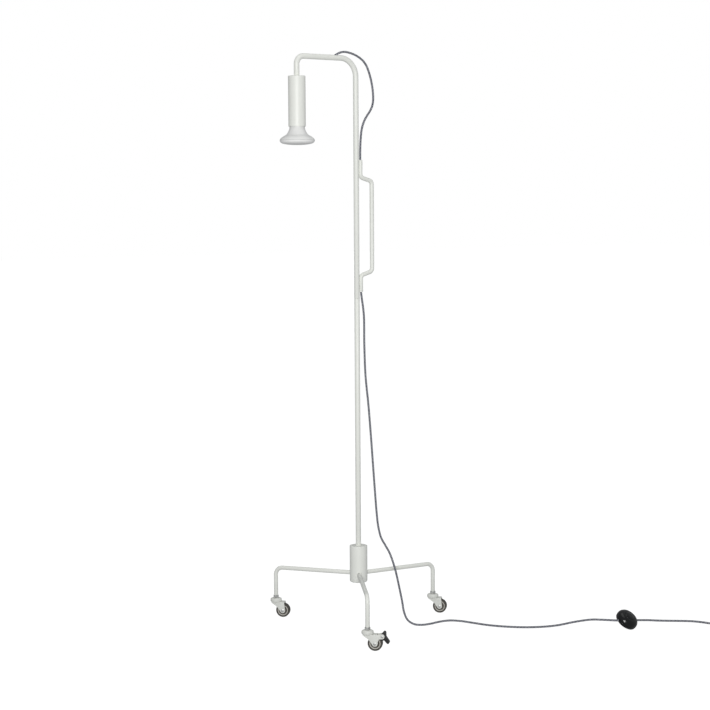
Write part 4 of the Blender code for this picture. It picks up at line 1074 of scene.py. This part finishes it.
def make_pedal(wheel):
    """The pedal, its ribs and its pin."""
    pin_place = wheel @ shift(PIN_OUT, 0, PIN_OUT)
    shoe = arc(0, 0, WHEEL_R + SHOE_GAP, 29, 51, 10)
    outline = rounded([(0.0145, 0.022, 0.002), (0.0215, 0.031, 0.004), (0.0245, 0.0333, 0.0015),
                       (0.028, 0.0318, 0.0015), (0.0292, 0.0285, 0.002), (0.0293, 0.019, 0.003),
                       (0.0372, 0.0075, 0.003)], False)
    outline += arc(0.035, 0.0042, 0.0038, 20, -130, 12)
    outline += [(0.025, 0.0095), (0.019, 0.0088)] + shoe + [(0.0132, 0.0185)]
    pedal = plate("caster_c_pedal", outline, PEDAL_W, wheel @ SIDEWAYS)
    hole = crosswise("hole", PIN_R + GAP, pin_place)
    dress(worked(pedal, cut=[hole], bevel=0.0007, segments=3, angle=35),
          "black_plastic", PEDAL_NYLON, "caster_c_brake_pedal", body="brake_pedal")
    line = line_object([wheel @ Vector((0.0309, 0, 0.0168)), wheel @ Vector((0.0360, 0, 0.0093))])
    ribs = grown("caster_c_pedal_ribs", line, RIBS, {
        "Count": RIB_COUNT, "Radius": RIB_R, "Width": RIB_W, "Material": PEDAL_NYLON})
    dress(ribs, "black_plastic", PEDAL_NYLON, body="brake_pedal")
    rivet("caster_c_pedal_pin", pin_place, PIN_R, PIN_HEAD_R, "caster_c", "caster_c_brake_pin")


print("pedal ready")

# %% All three casters
for key, angle in LEG_ANGLES.items():
    foot = LAMP + Vector((LEG_REACH * cos(angle), LEG_REACH * sin(angle), 0))
    swivel = Matrix.Translation(foot) @ spin(-45, "Z")
    wheel = swivel @ shift(TRAIL, 0, AXLE_Z)
    nut = hex_nut(f"caster_{key}_lock_nut", swivel @ shift(0, 0, NUT_Z)
                  @ spin(15, "Z"), NUT_R, NUT_H, STEM_BORE)
    dress(nut, "zinc_steel", ZINC, f"caster_{key}_nut", sharp=25)
    cap = rounded([
        (STEM_BORE, CAP_Z + CAP_H), (0.0095, CAP_Z + CAP_H, 0.0006),
        (0.0132, CAP_Z + CAP_H - 0.0010, 0.004), (CAP_R, CAP_Z + CAP_H - 0.0028, 0.0024),
        (CAP_R, CAP_Z, 0.0014), (0.0128, CAP_Z), (STEM_BORE, CAP_Z)], steps=8)
    dress(turned(f"caster_{key}_swivel_cap", cap, swivel), "caster_white", CASTER_NYLON,
          f"caster_{key}_cap", sharp=50)
    fork = make_fork(key, swivel, wheel, key == "c")
    dress(fork, "caster_white", CASTER_NYLON, f"caster_{key}_yoke", body=f"caster_{key}")
    rivet(f"caster_{key}_axle_rivet", wheel, AXLE_R, AXLE_HEAD_R, f"caster_{key}",
          f"caster_{key}_axle")
    make_wheel(key, wheel)
    if key == "c":
        make_pedal(wheel)
print("casters", len(LEG_ANGLES))

# %% [markdown]
# ## The head
# The casing is a plain painted tube, closed at the top but for the drop. The reflector
# bulb fills its mouth and flares out below: its profile is one smooth curve from the
# neck, out and round the rim, to the frosted face.

# %% The casing
HEAD_PLACE = LAMP_PLACE @ shift(HEAD_X, 0, 0)
CASING_R, CASING_LOW = 0.0235, 1.403
casing = rounded([
    (0.0053, CASING_TOP_Z), (0.0095, CASING_TOP_Z), (CASING_R, CASING_TOP_Z - 0.0012, 0.0024),
    (CASING_R, CASING_LOW, 0.0005), (CASING_R - 0.0012, CASING_LOW, 0.0005),
    (CASING_R - 0.0012, CASING_TOP_Z - 0.0026, 0.0012), (0.0053, CASING_TOP_Z - 0.0013)], steps=8)
dress(turned("head_casing_tube", casing, HEAD_PLACE, 128), "enamel", POWDER_COAT,
      "head_casing", sharp=35)
print("casing", round(CASING_TOP_Z - CASING_LOW, 3), "m long")

# %% The bulb


def smooth_profile(points, steps=6):
    """A smooth curve through profile points."""
    ends = [points[0]] + points + [points[-1]]
    out = []
    for p0, p1, p2, p3 in zip(ends, ends[1:], ends[2:], ends[3:]):
        for k in range(steps):
            t = k / steps
            out.append(tuple(0.5 * (2 * b + (c - a) * t + (2 * a - 5 * b + 4 * c - d) * t * t
                                    + (3 * b - a - 3 * c + d) * t ** 3)
                             for a, b, c, d in zip(p0, p1, p2, p3)))
    return out + [points[-1]]


BULB_R, BULB_LOW = 0.0475, 1.3535
RIM_Z = BULB_LOW + 0.0125
neck_z = BULB_LOW + 0.1085
housing = smooth_profile([
    (0.0128, neck_z + 0.0003), (0.0150, neck_z - 0.008), (0.0180, neck_z - 0.026),
    (0.0202, CASING_LOW + 0.004), (0.0214, CASING_LOW - 0.006), (0.0250, RIM_Z + 0.0222),
    (0.0306, RIM_Z + 0.0149), (0.0392, RIM_Z + 0.0098), (0.0451, RIM_Z + 0.0050),
    (0.0470, RIM_Z + 0.0020), (BULB_R, RIM_Z + 0.0002)])
inner = [(0.0447, RIM_Z + 0.0002), (0.0427, RIM_Z + 0.0030), (0.0377, RIM_Z + 0.0084),
         (0.0302, RIM_Z + 0.0138), (0.0242, RIM_Z + 0.0208), (0.0188, CASING_LOW),
         (0.0136, neck_z - 0.009), (0.0114, neck_z + 0.0003)]
dress(turned("bulb_reflector_housing", housing + inner, HEAD_PLACE, 128), "bulb_white",
      BULB_SATIN, "bulb_housing", sharp=50)
lens_top = RIM_Z - 0.0002
face = smooth_profile([
    (BULB_R, lens_top), (0.0468, lens_top - 0.0032), (0.0442, lens_top - 0.0061),
    (0.0395, lens_top - 0.0084), (0.0310, lens_top - 0.0103), (0.0180, lens_top - 0.0118),
    (0, BULB_LOW)])
back = [(0, BULB_LOW + 0.0016), (0.0180, lens_top - 0.0100), (0.0310, lens_top - 0.0084),
        (0.0390, lens_top - 0.0063), (0.0447, lens_top)]
dress(turned("bulb_frosted_face", face + back, HEAD_PLACE, 128), "bulb_diffuser",
      BULB_FROST, "bulb_diffuser", sharp=50)
print("bulb", 2 * BULB_R, "m across")

# %% [markdown]
# ## The foot switch
# Two mouldings of polished black ABS, a tray and a domed cover, with a round button in
# the middle. The stiff lead holds it up on its rim, so it is made in its own leaning
# frame, whose Z axis is the button's.

# %% The switch
SWITCH_AXIS = Vector((0.145, -0.617, 0.774)).normalized()
SWITCH_Y = SWITCH_AXIS.cross(Vector((0.988, 0.043, -0.150))).normalized()
SWITCH_X = SWITCH_Y.cross(SWITCH_AXIS)
SWITCH_R, TRAY_H, COVER_H = 0.032, 0.0095, 0.0245
lean = sqrt(1 - SWITCH_AXIS.z ** 2)
tray_edge = [(SWITCH_R, 0.0085), (0.0318, 0.0030), (0.0308, 0.0010), (0.0288, 0.0)]
lift_z = max(r * lean - z * SWITCH_AXIS.z for r, z in tray_edge)
SWITCH_PLACE = Matrix.Translation(LAMP + Vector((0.586, -0.4695, lift_z))) @ Matrix(
    (SWITCH_X, SWITCH_Y, SWITCH_AXIS)).transposed().to_4x4()
tray_profile = rounded([
    (0, 0), (0.0290, 0, 0.0012), (0.0312, 0.0016, 0.0016), (SWITCH_R - 0.0001, 0.0060, 0.004),
    (SWITCH_R, TRAY_H - 0.0003, 0.0006), (SWITCH_R - 0.0035, TRAY_H - 0.0003), (0.0280, 0.002),
    (0, 0.002)], closed=False, steps=5)
tray = turned("switch_tray", tray_profile, SWITCH_PLACE, 128)
way_through = SWITCH_PLACE @ shift(-0.042, 0, 0.0055) @ spin(90, "Y")
tray = worked(tray, cut=[bar("lead_way", LEAD_R + 0.0003, 0.084, way_through)])
dress(tray, "black_plastic", BLACK_ABS, "switch_base", sharp=35)
low = TRAY_H + 0.0003
cover = rounded([
    (0.0148, COVER_H - 0.0006), (0.0151, COVER_H, 0.0003), (0.0166, COVER_H, 0.001)], False)
cover += smooth_profile([(0.0172, COVER_H - 0.0001), (0.0215, COVER_H - 0.0010),
                         (0.0262, COVER_H - 0.0036), (0.0298, COVER_H - 0.0080),
                         (0.0315, low + 0.0030), (SWITCH_R - 0.0003, low + 0.0002)])
cover += [(0.0290, low), (0.0280, COVER_H - 0.0085), (0.0245, COVER_H - 0.0052),
          (0.0205, COVER_H - 0.0031), (0.0148, COVER_H - 0.0022)]
dress(turned("switch_domed_cover", cover, SWITCH_PLACE, 128), "black_plastic", BLACK_ABS,
      "switch_cover", sharp=35)
button = rounded([
    (0, COVER_H + 0.0024), (0.0060, COVER_H + 0.0026, 0.004), (0.0110, COVER_H + 0.0018, 0.004),
    (0.0145, COVER_H + 0.0004, 0.0012), (0.0145, COVER_H - 0.0045), (0, COVER_H - 0.0045)],
    closed=False, steps=6)
dress(turned("switch_push_button", button, SWITCH_PLACE, 96), "black_plastic",
      BLACK_ABS, "switch_button", body="foot_button", sharp=50)
print("switch lift", round(lift_z, 5))

# %% [markdown]
# ## The plug and the tie
# A flat moulded plug with a ribbed strain relief, its two pins sleeved for most of their
# length, and a textile tie with a hook-and-loop end round the coil.

# %% The plug
PLUG_PLACE = LAMP_PLACE @ Matrix.Translation(Vector(PLUG_AT) / 1000) @ Matrix.Rotation(
    PLUG_TURN, 4, "Z")
half_w, back_x, front_x, thick = 0.01775, 0.026, 0.061, 0.0137
PIN_APART, SLEEVE_END, PLUG_PIN_R, PLUG_PIN_END = 0.0186, 0.010, 0.002, 0.019
side = [(back_x, -0.0065, 0.002), (back_x + 0.010, -0.0095, 0.008),
        (back_x + 0.0185, -half_w, 0.004), (front_x, -half_w, 0.0025)]
outline = rounded(side + [(x, -y, r) for x, y, r in side[::-1]], steps=6)
grip = plate("plug_moulding", outline, thick, PLUG_PLACE)
dress(worked(grip, bevel=0.0022, segments=5, angle=50), "black_plastic", BLACK_ABS,
      "plug_body", sharp=50)
relief = [(0, 0.030), (0.0054, 0.030), (0.0053, 0.0262)]
for k in range(6):
    x = 0.0245 - 0.0038 * k
    r = 0.0050 - 0.00014 * k
    relief += [(r, x), (r, x - 0.0022), (r - 0.0009, x - 0.0024), (r - 0.0009, x - 0.0036)]
relief += [(0.0040, 0.0012), (0.0036, 0.0), (0, 0.0)]
relief_place = PLUG_PLACE @ spin(90, "Y")
dress(turned("plug_strain_relief", relief, relief_place, 48), "black_plastic",
      PEDAL_NYLON)
for name, y in (("left", PIN_APART / 2), ("right", -PIN_APART / 2)):
    pin_place = PLUG_PLACE @ shift(front_x + GAP, y, 0) @ spin(90, "Y")
    sleeve = rounded([(0, 0), (0.00195, 0), (0.0019, SLEEVE_END, 0.0002), (0, SLEEVE_END)],
                     closed=False)
    dress(turned(f"plug_sleeve_{name}", sleeve, pin_place, 32), "black_plastic",
          PEDAL_NYLON)
    pin = rounded([(0, SLEEVE_END + 0.0002), (PLUG_PIN_R, SLEEVE_END + 0.0002),
                   (PLUG_PIN_R, PLUG_PIN_END, 0.0012), (0, PLUG_PIN_END)], closed=False)
    dress(turned(f"plug_brass_pin_{name}", pin, pin_place, 32), "brass", BRASS,
          f"plug_pin_{name}")
print("plug made")

# %% The tie
TIE_BLACK = finish("woven_tie_black", "#232326", "#2E2E33", 0.8, grain_mm=0.7, grain_depth=0.12,
                   mottle_mm=5, sockets={"Sheen Weight": 0.3})
tie_place = (LAMP_PLACE @ shift(COIL_AT[0] / 1000, COIL_AT[1] / 1000, 0) @ spin(200, "Z")
             @ SIDEWAYS)
inner_x, outer_x, top_z, STRAP, STRAP_W = 0.0266, 0.0395, 0.0196, 0.0008, 0.012


def tie_loop(proud, low_z, bend):
    """A rounded rectangle round the coil's turns, proud of their inner one by so much."""
    return rounded([(inner_x - proud, low_z, bend), (outer_x + proud, low_z, bend),
                    (outer_x + proud, top_z + proud, bend), (inner_x - proud, top_z + proud, bend)],
                   steps=8)


tie = plate("coil_tie", tie_loop(STRAP, 0.0001, 0.003), STRAP_W, tie_place)
inside = plate("tie_inside", tie_loop(0.0, STRAP, 0.0024), 0.02, tie_place)
tie = worked(tie, cut=[inside], bevel=0.0002)
dress(tie, "black_plastic", TIE_BLACK)
print("tie made")

# %% [markdown]
# ## Pieces that stay as they are
# The inner pieces are seen only when something is taken apart, so the model's own
# solids keep their shape and get their finish.

# %% Finishes for the inner solids
CARRIED = {
    ZINC: ["pole_foot_insert", "pole_coupler", "head_nipple", "head_lock_nut"]
    + [f"caster_{key}_stem" for key in LEG_ANGLES],
    THERMOSET: ["lampholder_body", "lampholder_cap", "switch_contact_block"],
    BRASS: ["bulb_cap"], BOARD_WHITE: ["bulb_led_board"], BRAID: ["arm_lead", "handle_lead"],
}
for material, nodes in CARRIED.items():
    for node in nodes:
        NODES[node].data.materials.clear()
        NODES[node].data.materials.append(material)
print("carried over", sum(len(nodes) for nodes in CARRIED.values()))

# %% [markdown]
# ## The free lead, declared
# Each stretch leaves something, has a fixed length, and carries something on its end. The
# stretch past the switch has what isn't in use wound up, with the plug beside the coil.

# %% Stretches and what they carry
SWITCH_PIECES = [bpy.data.objects[n] for n in (
    "switch_tray", "switch_domed_cover", "switch_push_button", "switch_contact_block")]
PLUG_PIECES = [bpy.data.objects[n] for n in (
    "plug_moulding", "plug_strain_relief", "plug_sleeve_left", "plug_sleeve_right",
    "plug_brass_pin_left", "plug_brass_pin_right", "coil_tie")]


def free_lead(name, path, far_end, lay, pieces):
    """Declares a stretch of lead: its exit, its own length, and what it carries."""
    world_path = [LAMP + p for p in path]
    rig.cord(leads[name], exit=world_path[0], length=LEAD_LENGTHS[name], diameter=2 * LEAD_R,
            far_end=far_end, stiffness="medium", lay=lay, path=world_path, with_pieces=pieces)


free_lead("lead_upper", upper, "object", "hanging", [])
free_lead("lead_lower", lower, "fitting", "loose", SWITCH_PIECES)
free_lead("lead_tail", tail, "plug", "coiled", PLUG_PIECES)
print("free lead", round(sum(length_of(p) for p in (upper, lower, tail)), 2), "m")

# %% The floor
floor_mesh = bmesh.new()
bmesh.ops.create_grid(floor_mesh, x_segments=1, y_segments=1, size=30)
floor = mesh_object("floor", floor_mesh)
floor.data.materials.append(finish("studio_floor", "#6A6A69", "#666665", 0.75, grain_mm=3,
                                   grain_depth=0.01, mottle_mm=900, spread=0.04,
                                   sockets={"Emission Color": linear("#FFFFFF"),
                                            "Emission Strength": 0.95}))
floor.visible_diffuse = False
floor.visible_glossy = False
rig.stage(floor)
print("floor laid")

# %% The two boxes, side by side
SEEN_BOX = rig.bounds()
with open("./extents.json", "w") as out:
    out.write(str([[round(x, 5) for x in corner] for corner in (*CAD_BOX, *SEEN_BOX)]))
print("cad", [[round(x, 3) for x in corner] for corner in CAD_BOX])
print("seen", [[round(x, 3) for x in corner] for corner in SEEN_BOX])
